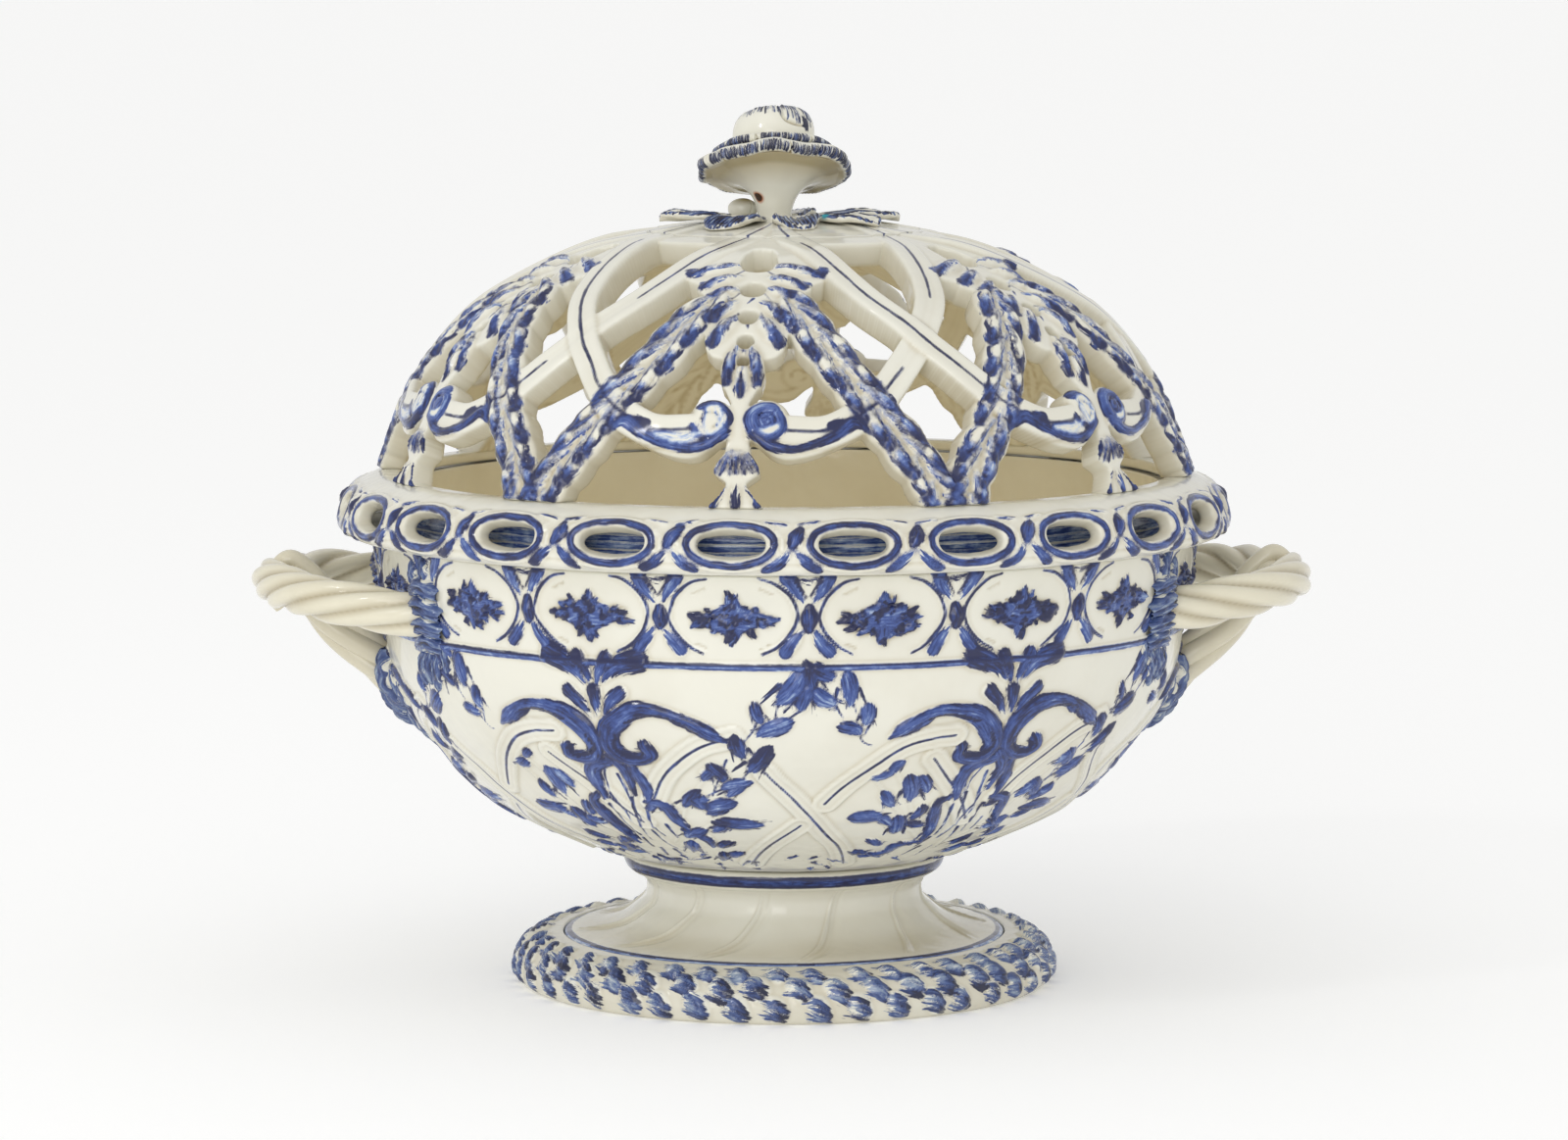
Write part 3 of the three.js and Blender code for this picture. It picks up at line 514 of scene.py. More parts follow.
# Pedestal: a thrown cove of the same clay with twelve fine swirled ridges, a narrow waist and a blue
# beaded collar under the bowl. A blue line rings its foot where it meets the leaves.
flute_count = 12
flute_shift = -11.0
cove = smooth_line([
    [64.3, 13.6], [64.2, 14.3], [62.6, 14.9], [60, 15.3], [54, 16.4], [48, 18.6], [43.5, 22], [40.9, 24.7],
    [40.2, 28.2], [40.9, 30.3], [42.6, 31.8], [44.8, 32.9], [46.2, 34.2], [46.9, 36.1], [46.5, 37.6],
    [45.5, 38.1],
], 10)
pedestal = ClayWall(cove, 720, 0.5)
collar_arc = pedestal.arcs[-1]
for n in range(flute_count):
    top = flute_shift + n * 360 / flute_count + wander.normal(0, 1.2)
    sweep = [[top, 35.5], [top - 1.5, 30], [top - 5, 23], [top - 10, 14], [top - 17, 5]]
    pedestal.press(sweep, [0.6, 1.6, 2.0, 1.8, 0.8], 0.75, 1.0)
    pedestal.press([[a + 3, s] for a, s in sweep], [2.0, 5.0, 6.0, 5.0, 2.0], -0.5, 3.0)
pedestal.ring(1.5, 3.2, 0.3, 0.0, 0.1, 0.2)
pedestal.ring(2.3, 1.5, 0.85, 0.8, atop=True)
pedestal.ring(collar_arc - 3.7, 3.9, 0.74, 0.5, 0.08)
pedestal.ring(collar_arc - 5.3, 0.9, 1.0, 1.0, 0.08, atop=True)
pedestal.ring(collar_arc - 2.2, 0.8, 0.95, 0.8, 0.08, atop=True)
# A khaki band round the cove: glaze gathered in the hollow, and painted shade under the bowl
pedestal.pool += 0.35 * np.exp(-((pedestal.arcs - 10) / 9) ** 2)[:, None]
pedestal_inside = [[34.6, 38.1], [35.2, 22.2], [44, 14], [56, 8.6], [63.9, 7]]
# Its inside carries khaki as painted shade
turned_piece("foot_pedestal", pedestal, pedestal_inside, cobalt_glaze, "base", 0.3)


# Bowl: thrown in one with its upright band, then pressed with ribbons, scrolls, garlands and palmettes,
# and painted freehand in cobalt. The blue gallery inside the rim shows through the cover's holes.
bowl_columns = 1080
bowl_low = np.array([45.4, 38.5])
shoulder = [116.5, 107.0]
belly = np.array([
    [0, 0], [0.11, 0.022], [0.3, 0.105], [0.54, 0.228], [0.69, 0.36], [0.77, 0.464],
    [0.868, 0.588], [0.94, 0.723], [0.98, 0.854], [1, 1],
])
belly = bowl_low + belly * (shoulder - bowl_low)
bowl_outside = np.vstack([
    smooth_line([*belly, [118.2, 119.2], [119.8, 131.0]], 14),
    [[119.6, 131.3], [119.2, 131.4], [114.6, 131.4], [114.1, 131.6], [114, 132],
     [114, 145], [113.5, 145.6], [112.6, 145.8]],
])
bowl = ClayWall(bowl_outside, bowl_columns, 0.57)
unit_count = 6
unit = 360 // unit_count


# A path moved to an angle and an arc of its wall, and mirrored where the side is -1
def placed(path, centre, side=1, arc=0):
    return [[centre + side * a, arc + s] for a, s in path]


# A loose leaf, never twice the same: pressed, veined and daubed, its path runs from the stalk to the tip
def loose_leaf(centre, start, tip, width, sway, broadest, height, driest, fullest):
    start = np.array(start) + wander.normal(0, 0.25, 2)
    tip = np.array(tip) + wander.normal(0, sway, 2)
    path = np.array(placed([start, (start + tip) / 2 + wander.normal(0, 0.3, 2), tip], centre))
    width *= wander.uniform(1.0, broadest)
    load = wander.uniform(driest, fullest)
    body = [0.4 * width, 0.95 * width, width, 0.8 * width, 0.3 * width]
    bowl.press(path, [w + 0.8 for w in body], height, 0.5 * width)
    bowl.press(path, [0.5, 0.9, 0.5], -0.28 * height, 0.5)
    bowl.stroke(path, body, load, 0.5, 0.4, 0.4)
    along = path[-1] - path[0]
    aside = np.array([along[1], -along[0]]) * 0.16
    for lean in (-1, 0.2, 1):
        start = path[0] + along * wander.uniform(0.5, 0.7) + aside * lean
        end = path[-1] + along * wander.uniform(-0.02, 0.2) + aside * lean * 1.6
        bowl.stroke([start, end], [0.3 * width, 0.12 * width], load, 0.5, 0.7, 0.0, 0.1)


# Low relief ribbons with a raised thread along each edge; one fine line is painted down the middle
ribbons = [
    [[-6, 72.1], [-4.5, 67.5], [-0.2, 57.5], [4.3, 45.1], [8.1, 34.6], [12.3, 17.8]],
    [[3.5, 59.3], [6.4, 66.2], [10.3, 74.2], [14.2, 80.4], [18.1, 83], [21.9, 83.7]],
    [[-11.6, 17.6], [-5.8, 37.3], [-0.4, 49.6]],
    [[-10.5, 84.3], [-15, 81.5], [-18.7, 76], [-22, 69], [-25.5, 58]],
    [[19.5, 76], [23.5, 67], [27.2, 59.1], [31, 49]],
]
garland_leaves = [
    [[-0.7, 104.2], [-3.8, 94.6], 6.2], [[0.5, 100.4], [-1, 92.7], 4.2], [[-7.3, 94.6], [-6.4, 89.2], 3.6],
    [[-2.4, 89.3], [-6.6, 85], 5.6], [[-10.4, 84.9], [-9.5, 77.2], 5], [[-5.2, 80.5], [-8.4, 72.1], 5.4],
    [[-14.2, 74.4], [-12.7, 68.1], 5], [[-8.2, 68.3], [-12.9, 64.8], 5], [[-18.5, 62.2], [-16.1, 57], 5.4],
    [[-11.8, 59.2], [-15.7, 56], 4.6], [[-15.5, 50.8], [-7.6, 49.2], 5.8],
    [[0.5, 105.4], [3.8, 102.2], 4.6], [[0.5, 98.5], [3.7, 94.5], 4.4], [[5.3, 104], [6.2, 94.4], 5.2],
    [[8.1, 94.3], [8.8, 88.2], 4.8], [[4.7, 87.7], [7.3, 86.2], 4.2], [[-0.2, 106.2], [0.6, 98.6], 5],
]
garland_hairs = [
    [[-6.9, 89.9], [-7.3, 87], [-8.7, 83.4]], [[-11.4, 76.3], [-13, 70], [-14.8, 61.6]],
    [[3.7, 94.5], [4.3, 92.3], [5.1, 90.6]], [[6.2, 96], [7.1, 90.4]], [[8.8, 89.5], [8.2, 84.6]],
    [[7.3, 86.2], [8.2, 82.6], [9.6, 81.2]], [[-3.8, 94.6], [-4.4, 90.6]], [[-1, 92.7], [-2.6, 90]],
    [[-8.4, 72.1], [-9.2, 69.2]], [[-12.9, 64.8], [-15.4, 61.8]], [[6.5, 101], [4.4, 99.4]],
]
for n in range(unit_count):
    centre = n * unit
    for ribbon in ribbons:
        path = placed(ribbon, centre)
        bowl.press(path, [8.2], 0.75, 1.0)
        bowl.work(path, ([5.6], -0.35, 0.8), ([0.95, 1.15, 0.9], 0.8, 0.08, 0.9, 0.1, 0.12))
    for start, tip, width in garland_leaves:
        loose_leaf(centre, start, tip, width, 0.3, 1.25, 1.1, 0.66, 0.95)
    for hair in garland_hairs:
        bowl.stroke(placed(hair, centre), [1.1, 0.8, 0.7], 0.75, 0.15, 0.5, 0.1)


# Scrolls, bells and the palmette of a column; the handles' props stand on two of the six
scroll_arms = [
    [[[-18.2, 84], [-16, 87.1], [-13.8, 90], [-11.3, 91.5], [-8.5, 91.5], [-5.5, 89.4], [-2.9, 85.5],
      [-1.5, 80.5], [-2.4, 76.2], [-4.6, 75], [-6.6, 76.4], [-6.8, 78.6]],
     [1.2, 5.2, 3.8, 3.6, 4.2, 5.6, 7, 7.4, 6.4, 5.2, 5, 4.6]],
    [[[18.7, 82.6], [16.4, 85.4], [13.5, 88.8], [9.3, 91.7], [5.8, 91.7], [3.3, 89.4], [1.4, 85.5],
      [1, 80.4], [2.4, 76.4], [5, 75.6], [7, 77.8], [6.4, 80.2]],
     [1.2, 5.2, 3.8, 3.6, 4.2, 5.6, 7, 7.4, 6.6, 5.4, 5, 4.6]],
]
scroll_eyes = [
    [[-2.4, 84.2], [-1.8, 80], [-3.2, 77], [-5.4, 76.6], [-6.2, 78.4], [-5, 79.6]],
    [[2.4, 84.4], [1.8, 80.2], [3.2, 77.4], [5.4, 77], [6, 78.8], [4.8, 80]],
    [[-5.2, 88.2], [-9.6, 90.4], [-12.8, 89.6]], [[4.4, 88.6], [8.6, 90.6], [12.4, 89.2]],
]
arm_teeth = [[[-12.2, 90.6], [-13.4, 88.2], [-15.4, 85.6]], [[-13.8, 88.6], [-14.6, 86.6], [-16.8, 85.2]],
             [[12.4, 90], [13.8, 87.2], [15.6, 84.6]], [[10.4, 91], [12.2, 88], [13.2, 86.8]]]
bells = [
    [[[-6.6, 106.4], [-3.4, 104], [-1.4, 99.6]], [7.4, 5.8, 1.4]],
    [[[6.6, 106.4], [3.4, 104], [1.4, 99.6]], [7.4, 5.8, 1.4]],
    [[[-2.2, 106.2], [-1, 102.2], [-0.6, 98.8]], [5.2, 3.8, 1]],
    [[[2.2, 106.2], [1, 102.2], [0.4, 98.6]], [5.2, 3.8, 1]],
    [[[-4, 96.6], [-2.2, 93.2], [-1, 89.4]], [4.6, 3.8, 1]],
    [[[4, 96.6], [2.2, 93.2], [1, 89.4]], [4.6, 3.8, 1]],
    [[[0, 96.6], [0, 92.6], [0.2, 90]], [4.8, 3.8, 1]],
]
acanthus = [
    [[[-0.4, 74.1], [-3.6, 72], [-4.4, 66.6], [-3.8, 59.4]], [4.2, 5.6, 5.4, 2.6]],
    [[[-4.9, 60.5], [-6.9, 56.2], [-4.9, 43.3], [-4.4, 34.6]], [2.4, 5, 4.2, 2]],
    [[[-5.2, 36.8], [-8.9, 33.9], [-10.1, 27.7], [-15.3, 24.4]], [2.4, 4.4, 3.8, 1.8]],
    [[[0.3, 76.5], [2.1, 70.9], [1.9, 61.9]], [4.4, 5, 1.8]],
    [[[3.3, 73.9], [4.3, 64.8], [3.7, 56.6]], [3.4, 4.4, 1.4]],
    [[[3.6, 58.8], [6.6, 57.4], [7.8, 51.1], [9.4, 45.8]], [2.2, 5, 4.4, 1.8]],
    [[[8, 46.2], [11.6, 41.6], [12.2, 34.6]], [2, 4.6, 2]],
]
palmette_hairs = [
    [[-2.3, 61.2], [-1.6, 55], [-1, 48.4]], [[0.1, 68.8], [0.8, 58], [1.2, 50]],
    [[0.9, 60], [0, 48], [-0.7, 37]],
    [[-0.1, 76], [-2, 68.5], [-2.3, 61.2]], [[0.7, 76.1], [1.7, 69.1], [1.3, 62.7]],
    [[-3.8, 57], [-2.6, 47], [-2.2, 40]], [[2.8, 56], [2.6, 47], [3.4, 41]], [[-2.6, 38], [-3.2, 30]],
    [[1.6, 44], [2.4, 34], [3.8, 27]], [[5, 48], [5.6, 41]], [[-5.6, 42], [-6.4, 36]],
    [[-1.6, 30], [-3, 22]], [[1.4, 29], [1.8, 20]], [[6.5, 34], [8.2, 26]], [[-8.2, 29], [-9, 21]],
]
sprays = [
    [[-16.6, 71.7], [-19.2, 68.7], 3.6], [[-15, 75.5], [-16.3, 72.1], 3.4], [[-13.4, 69], [-12, 58.9], 5],
    [[-16.9, 62.9], [-14.9, 57.4], 3.6], [[-9.1, 56.6], [-9.9, 50.4], 4.4], [[-13.2, 52], [-12, 43.4], 5.2],
    [[-21.8, 52.4], [-15.4, 52.3], 5.6], [[-11.5, 68.3], [-9.3, 61.7], 3.6],
    [[-17.6, 54.1], [-13.2, 47.8], 3],
    [[-10.9, 49.6], [-6.8, 47.3], 3.8], [[-8.6, 36.2], [-5.4, 33.9], 3], [[-13.9, 27.9], [-9.1, 22.4], 3.4],
    [[5.7, 58.4], [3.3, 54.1], 3.2], [[12.2, 46.2], [7.9, 41], 4], [[8, 37.6], [6.5, 28.5], 4.2],
    [[12.6, 28.9], [11, 20.2], 3.6], [[11.2, 60.4], [14.6, 60.7], 4.4], [[16.7, 72.6], [14.5, 68.7], 3.6],
    [[20.8, 66.9], [18.1, 62.4], 3.6], [[13, 63], [10.4, 57.3], 4.2], [[17.3, 57.4], [14.1, 54.3], 3.8],
    [[17.9, 51.2], [13.9, 45.7], 4.8], [[16.4, 38.6], [12.8, 33.6], 4], [[-16.4, 39.6], [-12.6, 34.6], 4],
    [[-18.6, 30.4], [-14.2, 27.8], 3.4], [[17.8, 29.4], [14.4, 24.4], 3.4],
]
spray_stalks = [
    [[-16.3, 72], [-13, 62], [-9.4, 50], [-4, 40]], [[-19, 68.5], [-15, 58], [-10, 47], [-5, 36]],
    [[14.5, 68.7], [10.4, 57.3], [7, 44], [4, 36]], [[18, 62], [14, 50], [8, 40], [4, 32]],
    [[-15.6, 52], [-9, 44], [-4, 36]],
]
for n in range(unit_count):
    centre = unit / 2 + n * unit
    for path, widths in bells:
        bowl.work(placed(path, centre), ([w + 0.8 for w in widths], 0.9, 1.6), (widths, 0.84, 0.85, 0.8, 0.5))
    for path, widths in scroll_arms:
        line = (widths, 0.66, 0.34, 0.3, -0.2)
        bowl.work(placed(path, centre), ([w + 0.6 for w in widths], 1.3, 1.8), line)
    for tooth in arm_teeth:
        bowl.work(placed(tooth, centre), ([3.4, 3.0, 1.0], 0.9, 1.4), ([3.0, 2.8, 0.8], 0.75, 0.3, 0.5, 0.0))
    for eye in scroll_eyes:
        line = ([0.9, 1.4, 0.7], 1.05, 0.2, 1.2, 0.0)
        bowl.work(placed(eye, centre), ([0.5, 1.1, 0.5], -0.7, 0.5), line, atop=True)
    for path, widths in acanthus:
        bowl.work(placed(path, centre), ([w + 0.6 for w in widths], 1.0, 1.5), (widths, 0.7, 0.5, 0.4, 0.1))
    for hair in palmette_hairs:
        bowl.work(placed(hair, centre), ([1.4, 2.6, 1.6], 0.4, 1.2), ([1.3, 0.9, 0.7], 0.72, 0.2, 0.4, 0.1))
    for stalk in spray_stalks:
        bowl.press(placed(stalk, centre), [1.2], 0.35, 0.6)
    for start, tip, width in sprays:
        loose_leaf(centre, start, tip, width, 0.25, 1.3, 1.0, 0.6, 0.9)


# Band: eighteen rosettes, each in an incised oval, between waisted dividers with a bead
band_count = 18
rosette_size = np.array([5.2, 6.8])
divider = [[-6.6, 129.8], [-4.6, 128.6], [-2.6, 125.2], [-1.6, 121.2], [-1.5, 118.2], [-2.3, 114.4],
           [-4.1, 110.8], [-6, 108.6]]
for n in range(band_count):
    centre = n * 360 / band_count
    for side in (1, -1):
        edge = placed(divider, centre, -side)
        bowl.work(edge, ([1.6, 2.2, 1.6], 0.4, 0.9), ([0.9, 1.3, 1.1, 1.3, 1.0], 0.74, 0.1, 0.5, 0.0, 0.15))
        top = placed([[2.6, 130.4], [2.0, 127.6], [0.7, 123.4]], centre, side)
        bowl.work(top, ([5.6, 5.0, 1.4], 0.7, 1.6), ([5.0, 3.8, 1.0], 0.6, 0.6, 0.3, 0.3))
        lash = placed([[3.4, 130.4], [0, 129.0]], centre, side)
        bowl.stroke(lash, [0.9, 1.6], 0.8, 0.7, 0.9, 0.0, 0.2, atop=True)
        lash = placed([[1.6, 129.6], [0.2, 124.6]], centre, side)
        bowl.stroke(lash, [1.2, 0.8], 1.0, 0.2, 1.0, 0.0, 0.15, atop=True)
        low = placed([[2.9, 109.4], [1.9, 112.0], [0.6, 115.6]], centre, side)
        bowl.work(low, ([4.6, 4.4, 1.2], 0.7, 1.5), ([4.2, 3.6, 0.8], 0.62, 0.75, 0.35, 0.3))
    bead = placed([[0.2, 121.2], [0.2, 118.6], [0.2, 116.0]], centre)
    bowl.work(bead, ([2.8, 5.2, 2.8], 1.6, 2.5), ([3.2, 5.2, 3.2], 0.8, 0.2, 0.6, 0.1))
    bowl.stroke([bead[0], bead[2]], [0.5, 0.8, 0.5], 1.2, 0.1, 1.2, 0.0, 0.1, atop=True)
    middle = centre + 180 / band_count
    oval = [[7.3 * math.cos(a), 9.6 * math.sin(a)] for a in np.radians(np.linspace(0, 360, 25))]
    bowl.press(placed(oval, middle, 1, 118.6), [1.5], -0.35, 0.7)
    heart_of_rosette = np.array([middle, 118.4])
    for reach, widths in (([rosette_size[0], 0.4], [1.6, 5.6, 9.8, 5.6, 1.6]),
                          ([0.3, rosette_size[1]], [1.6, 5.0, 8.8, 5.0, 1.6])):
        body = [heart_of_rosette + np.array(reach) * t for t in (-1, -0.5, 0, 0.5, 1)]
        bowl.work(body, (widths, 0.8, 1.2), (widths, 0.6, 0.4, 0.3, 0.0, 0.2))
    for _ in range(40):
        away = wander.uniform(-1, 1, 2)
        away[1] *= 1 - 0.85 * abs(away[0])
        spot = heart_of_rosette + away * rosette_size
        size = wander.uniform(1.4, 2.6)
        petal = [spot, spot + away * [0.9, 1.4] + wander.normal(0, [0.3, 0.45])]
        bowl.press(petal, [size + 0.3, 0.6 * size], wander.uniform(1.0, 2.0), 0.5 * size)
        load = wander.uniform(0.35, 1.15)
        bowl.stroke(petal, [size + 0.3, 0.7 * size], load, 0.25, wander.uniform(0, 1), 0.0, 0.1, atop=True)
    for _ in range(14):
        away = wander.uniform(-1, 1, 2)
        away[1] *= 1 - 0.8 * abs(away[0])
        spot = heart_of_rosette + away * (rosette_size - [0.8, 1.6])
        bowl.press([spot, spot + wander.normal(0, [0.5, 1.0])], [1.1], -0.8, 0.5)

# Lines round the bowl: the cobalt band at the shoulder and the blue gallery
bowl.press_ring(105.2, 2.8, 0.5, 0.9)
bowl.ring(105.0, 2.1, 0.5, 0.1)
bowl.ring(105.7, 0.8, 0.9, 0.9, atop=True)
# The gallery is painted a pale blue, lighter than the other lines, as painted light and sheen for what
# reaches it through the cover's holes
gallery_low = bowl.arc_at_height(131.2) + 6.6
for arc in np.arange(gallery_low + 1.2, bowl.arcs[-1], 2.1):
    bowl.ring(arc, 1.9, 0.4, 0.0)
for up in (2.0, 6.0, 10.2):
    bowl.press_ring(gallery_low + up, 3.4, 0.45, 1.6)

# Low strokes near the foot, where the palmettes run out
for n in range(84):
    angle = wander.uniform(0, 360)
    arc = wander.uniform(8, 22)
    path = [[angle, arc + 4], [angle + wander.normal(0, 3), arc]]
    bowl.press(path, [2.4, 1.2], 0.5, 1.0)
    bowl.stroke(path, [2.2, 0.7], wander.uniform(0.45, 0.8), 0.9, 0.6, 0.4)

bowl_inside = smooth_line([
    [109.8, 145.6], [109.3, 144.8], [109.2, 134], [110.2, 120], [109.8, 108], [107, 96], [100, 83.5],
    [88, 70.5], [70, 57.6], [50, 49], [25, 45.2], [8, 44.6],
], 5)
under_rows = ring_points([[8.0, 38.6], [30.0, 38.5], [44.6, 38.45]], bowl_columns)
grid = np.concatenate([under_rows, wall_points(bowl), ring_points(bowl_inside, bowl_columns)])
poles = [[0, 0, 38.6], [0, 0, 44.6]]
columns = np.arange(bowl_columns)
beside = (columns + 1) % bowl_columns
low_pole = len(grid) * bowl_columns
top_row = low_pole - bowl_columns
fans = np.concatenate([
    np.column_stack([beside, columns, np.full(bowl_columns, low_pole)]),
    np.column_stack([top_row + columns, top_row + beside, np.full(bowl_columns, low_pole + 1)]),
])
under_marks = bare_marks(np.zeros(under_rows.shape[:2]))
# The inside of the bowl carries a little khaki as painted shade
marks = joined_marks(under_marks, wall_marks(bowl, len(bowl_inside) * bowl_columns + 2, 0.1))
points = np.concatenate([grid.reshape(-1, 3), poles])
faces = ring_faces(len(grid), bowl_columns, False)
fired_piece("bowl", points, faces, cobalt_glaze, "base", marks, fans=fans)


# Handles: each a loop of five rolled clay strands, twisted while soft and luted to the band, with a prop of
# five more that climbs from the belly and folds over inside the loop's tip. Glazed, not painted.
rope_radius = 6.6
strand_radius = 2.75
strand_offset = 3.85
strand_count = 5
strand_turn = 2 * math.pi / strand_count
rope_sides = 48
handle_reach = 148.0
handle_end_angle = 28
handle_end_height = 113.0
handle_end_radius = 112.0
loop_shares = [[0, 1, 0], [0.38, 0.9, 0.35], [0.72, 0.69, 0.75], [0.93, 0.36, 0.97], [1, 0, 1]]
prop_foot = {"right": [112.2, 86.0], "left": [113.2, 89.0]}
prop_shares = [[0, 0], [0.3, 0.27], [0.68, 0.6], [1, 1]]


# Frames along a line that don't twist with it, as two directions square to the line at each point
def steady_frames(line):
    along = np.gradient(line, axis=0)
    along /= np.linalg.norm(along, axis=1)[:, None]
    side = np.cross(along[0], [0.0, 0.0, 1.0])
    sides = []
    for direction in along:
        side = side - direction * np.dot(side, direction)
        side = side / np.linalg.norm(side)
        sides.append(side)
    return np.array(sides), np.cross(along, sides)


def evenly(line, spacing):
    leg = np.linalg.norm(np.diff(line, axis=0), axis=1)
    travelled = np.concatenate([[0], np.cumsum(leg)])
    arcs = np.linspace(0, travelled[-1], int(round(travelled[-1] / spacing)) + 1)
    return np.column_stack([np.interp(arcs, travelled, line[:, n]) for n in range(3)]), arcs


# Clay rolls end inside the bowl's wall: what would reach its hollow is drawn back to 1.5 mm from it
def kept_in_wall(points):
    hollow = np.interp(points[..., 2], bowl_inside[::-1, 1], bowl_inside[::-1, 0]) + 1.5
    draw = np.maximum(1, hollow / np.hypot(points[..., 0], points[..., 1]))
    return points * np.stack([draw, draw, np.ones_like(draw)], axis=-1)


# Twisted strands as one skin: the outline of round strands side by side, turning as it goes
def twisted_rope(line, turns):
    line, arcs = evenly(line, 0.55)
    sides, ups = steady_frames(line)
    around = np.arange(rope_sides) * 2 * math.pi / rope_sides
    points = []
    groove = []
    for n in range(len(line)):
        twist = 2 * math.pi * turns * arcs[n] / arcs[-1] + 0.25 * math.sin(arcs[n] / 17)
        reach = np.full(rope_sides, 3.6)
        for strand, uneven in enumerate((1.0, 0.92, 1.04, 0.96, 0.9)):
            off = around - twist - strand * strand_turn
            offset = strand_offset * uneven
            chord = strand_radius ** 2 - (offset * np.sin(off)) ** 2
            far = offset * np.cos(off) + np.sqrt(np.clip(chord, 0, None))
            reach = np.maximum(reach, np.where(chord > 0, far, 0))
        groove.append(np.clip((rope_radius * 0.93 - reach) / 2.0, 0, 1))
        ring = np.cos(around)[:, None] * sides[n] + np.sin(around)[:, None] * ups[n]
        points.append(line[n] + reach[:, None] * ring)
    return np.array(points), np.array(groove)


def tube(line, radii, side_count=20):
    line, arcs = evenly(line, 0.6)
    sides, ups = steady_frames(line)
    around = np.arange(side_count) * 2 * math.pi / side_count
    radius = np.interp(arcs / arcs[-1], np.linspace(0, 1, len(radii)), radii)
    ring = np.cos(around)[None, :, None] * sides[:, None] + np.sin(around)[None, :, None] * ups[:, None]
    return line[:, None] + radius[:, None, None] * ring


rope_glaze = cobalt_under_glaze("lead_glaze_over_rolled_clay", "E2DCC6", "8E7A4A")
for side, word in ((1, "right"), (-1, "left")):
    out_start = handle_end_radius * math.cos(math.radians(handle_end_angle))
    aside = handle_end_radius * math.sin(math.radians(handle_end_angle))
    half = [[out_start + o * (handle_reach - out_start), -a * aside, handle_end_height + u * 5.0]
            for o, a, u in loop_shares]
    whole = np.array(half + [[x, -y, z] for x, y, z in half[-2::-1]])
    whole[:, 0] *= side
    points, groove = twisted_rope(smooth_line(whole, 12), 1.7 * side)
    # Khaki in the grooves between strands: glaze gathered there, and painted shade in the creases
    fired_piece(
        f"handle_{word}_rope", kept_in_wall(points), ring_faces(len(points), rope_sides, False)[:, ::-1],
        rope_glaze, "base", bare_marks(groove * 0.75),
    )
    foot_out, foot_up = prop_foot[word]
    foot_out -= 4.0
    foot_up -= 3.0
    tip_out = handle_reach - 7.5
    climb = smooth_line([[foot_out + o * (tip_out - foot_out), 0, foot_up + u * (119.0 - foot_up)]
                         for o, u in prop_shares], 10)
    strands = []
    faces = []
    first = 0
    for strand in range(strand_count):
        turn = np.linspace(0, 1, len(climb)) * 0.42 * 2 * math.pi + strand * 2 * math.pi / strand_count + 0.6
        spread = np.linspace(3.1, 3.7, len(climb))[:, None]
        path = climb + spread * (np.cos(turn)[:, None] * [0, 1, 0] + np.sin(turn)[:, None] * [-0.55, 0, 0.83])
        last = path[-1]
        hook = 2.6 + 1.1 * strand
        path = smooth_line([
            *path[::4],
            last + [hook * 0.6, 0, 1.2 + 0.3 * strand],
            last + [hook * 1.15, last[1] * -0.15, 0.4],
            last + [hook * 1.4, last[1] * -0.45, -3.0],
            last + [hook * 0.9, last[1] * -0.9, -5.6],
        ], 8)
        path[:, 0] = np.minimum(path[:, 0], 151.0) * side
        ring = tube(path, [3.3, 3.2, 3.1, 3.0, 2.8, 2.4])
        strands.append(kept_in_wall(ring).reshape(-1, 3))
        faces.append(ring_faces(ring.shape[0], ring.shape[1], False)[:, ::-1] + first)
        first += len(strands[-1])
    # The prop is tinted a faint khaki all over
    fired_piece(
        f"handle_{word}_prop", np.concatenate(strands), np.concatenate(faces),
        rope_glaze, "base", bare_marks(np.full(first, 0.12)),
    )


# Leaves over the ends of the ropes: small moulded leaves pressed on with slip where rope meets bowl,
# painted solid cobalt so that their veins show as darker lines.
leaf_glaze = cobalt_under_glaze("cobalt_over_moulded_leaves", "E2E0D2", "8E7A4A", smoky_cobalt)
collar_leaves = [
    [[-8.6, 7.2], [-1, 9.4], [6.4, 6.4], 6.6, 4.2], [[-9.4, 1.2], [-1, 4.2], [7.6, 1.6], 7.2, 5.2],
    [[-9, -3.6], [0, -1.4], [8.4, -4], 7, 5], [[-8.2, -8.2], [-0.5, -6.4], [7, -9.4], 6.8, 4],
    [[3, 6], [7.6, 4.4], [11.6, 0.6], 5.6, 2.4], [[4.4, -1], [8.8, -3.4], [12.6, -7.4], 5.6, 2.2],
    [[-2.6, 9], [-2.8, 13], [-1, 18], 5.6, 2.4], [[2.6, 7.6], [4.4, 11.6], [5, 16.4], 5.2, 2.2],
    [[-3.8, -9.6], [-3.4, -14.4], [-0.6, -21], 5.8, 2.4], [[2.4, -9], [5.2, -13.8], [6.4, -20], 5.6, 2.2],
    [[-0.8, -8], [0.9, -13.4], [2.6, -19.4], 5.2, 2.6], [[-7.2, -6], [-8.6, -11], [-7.6, -16.4], 4.6, 1.8],
]
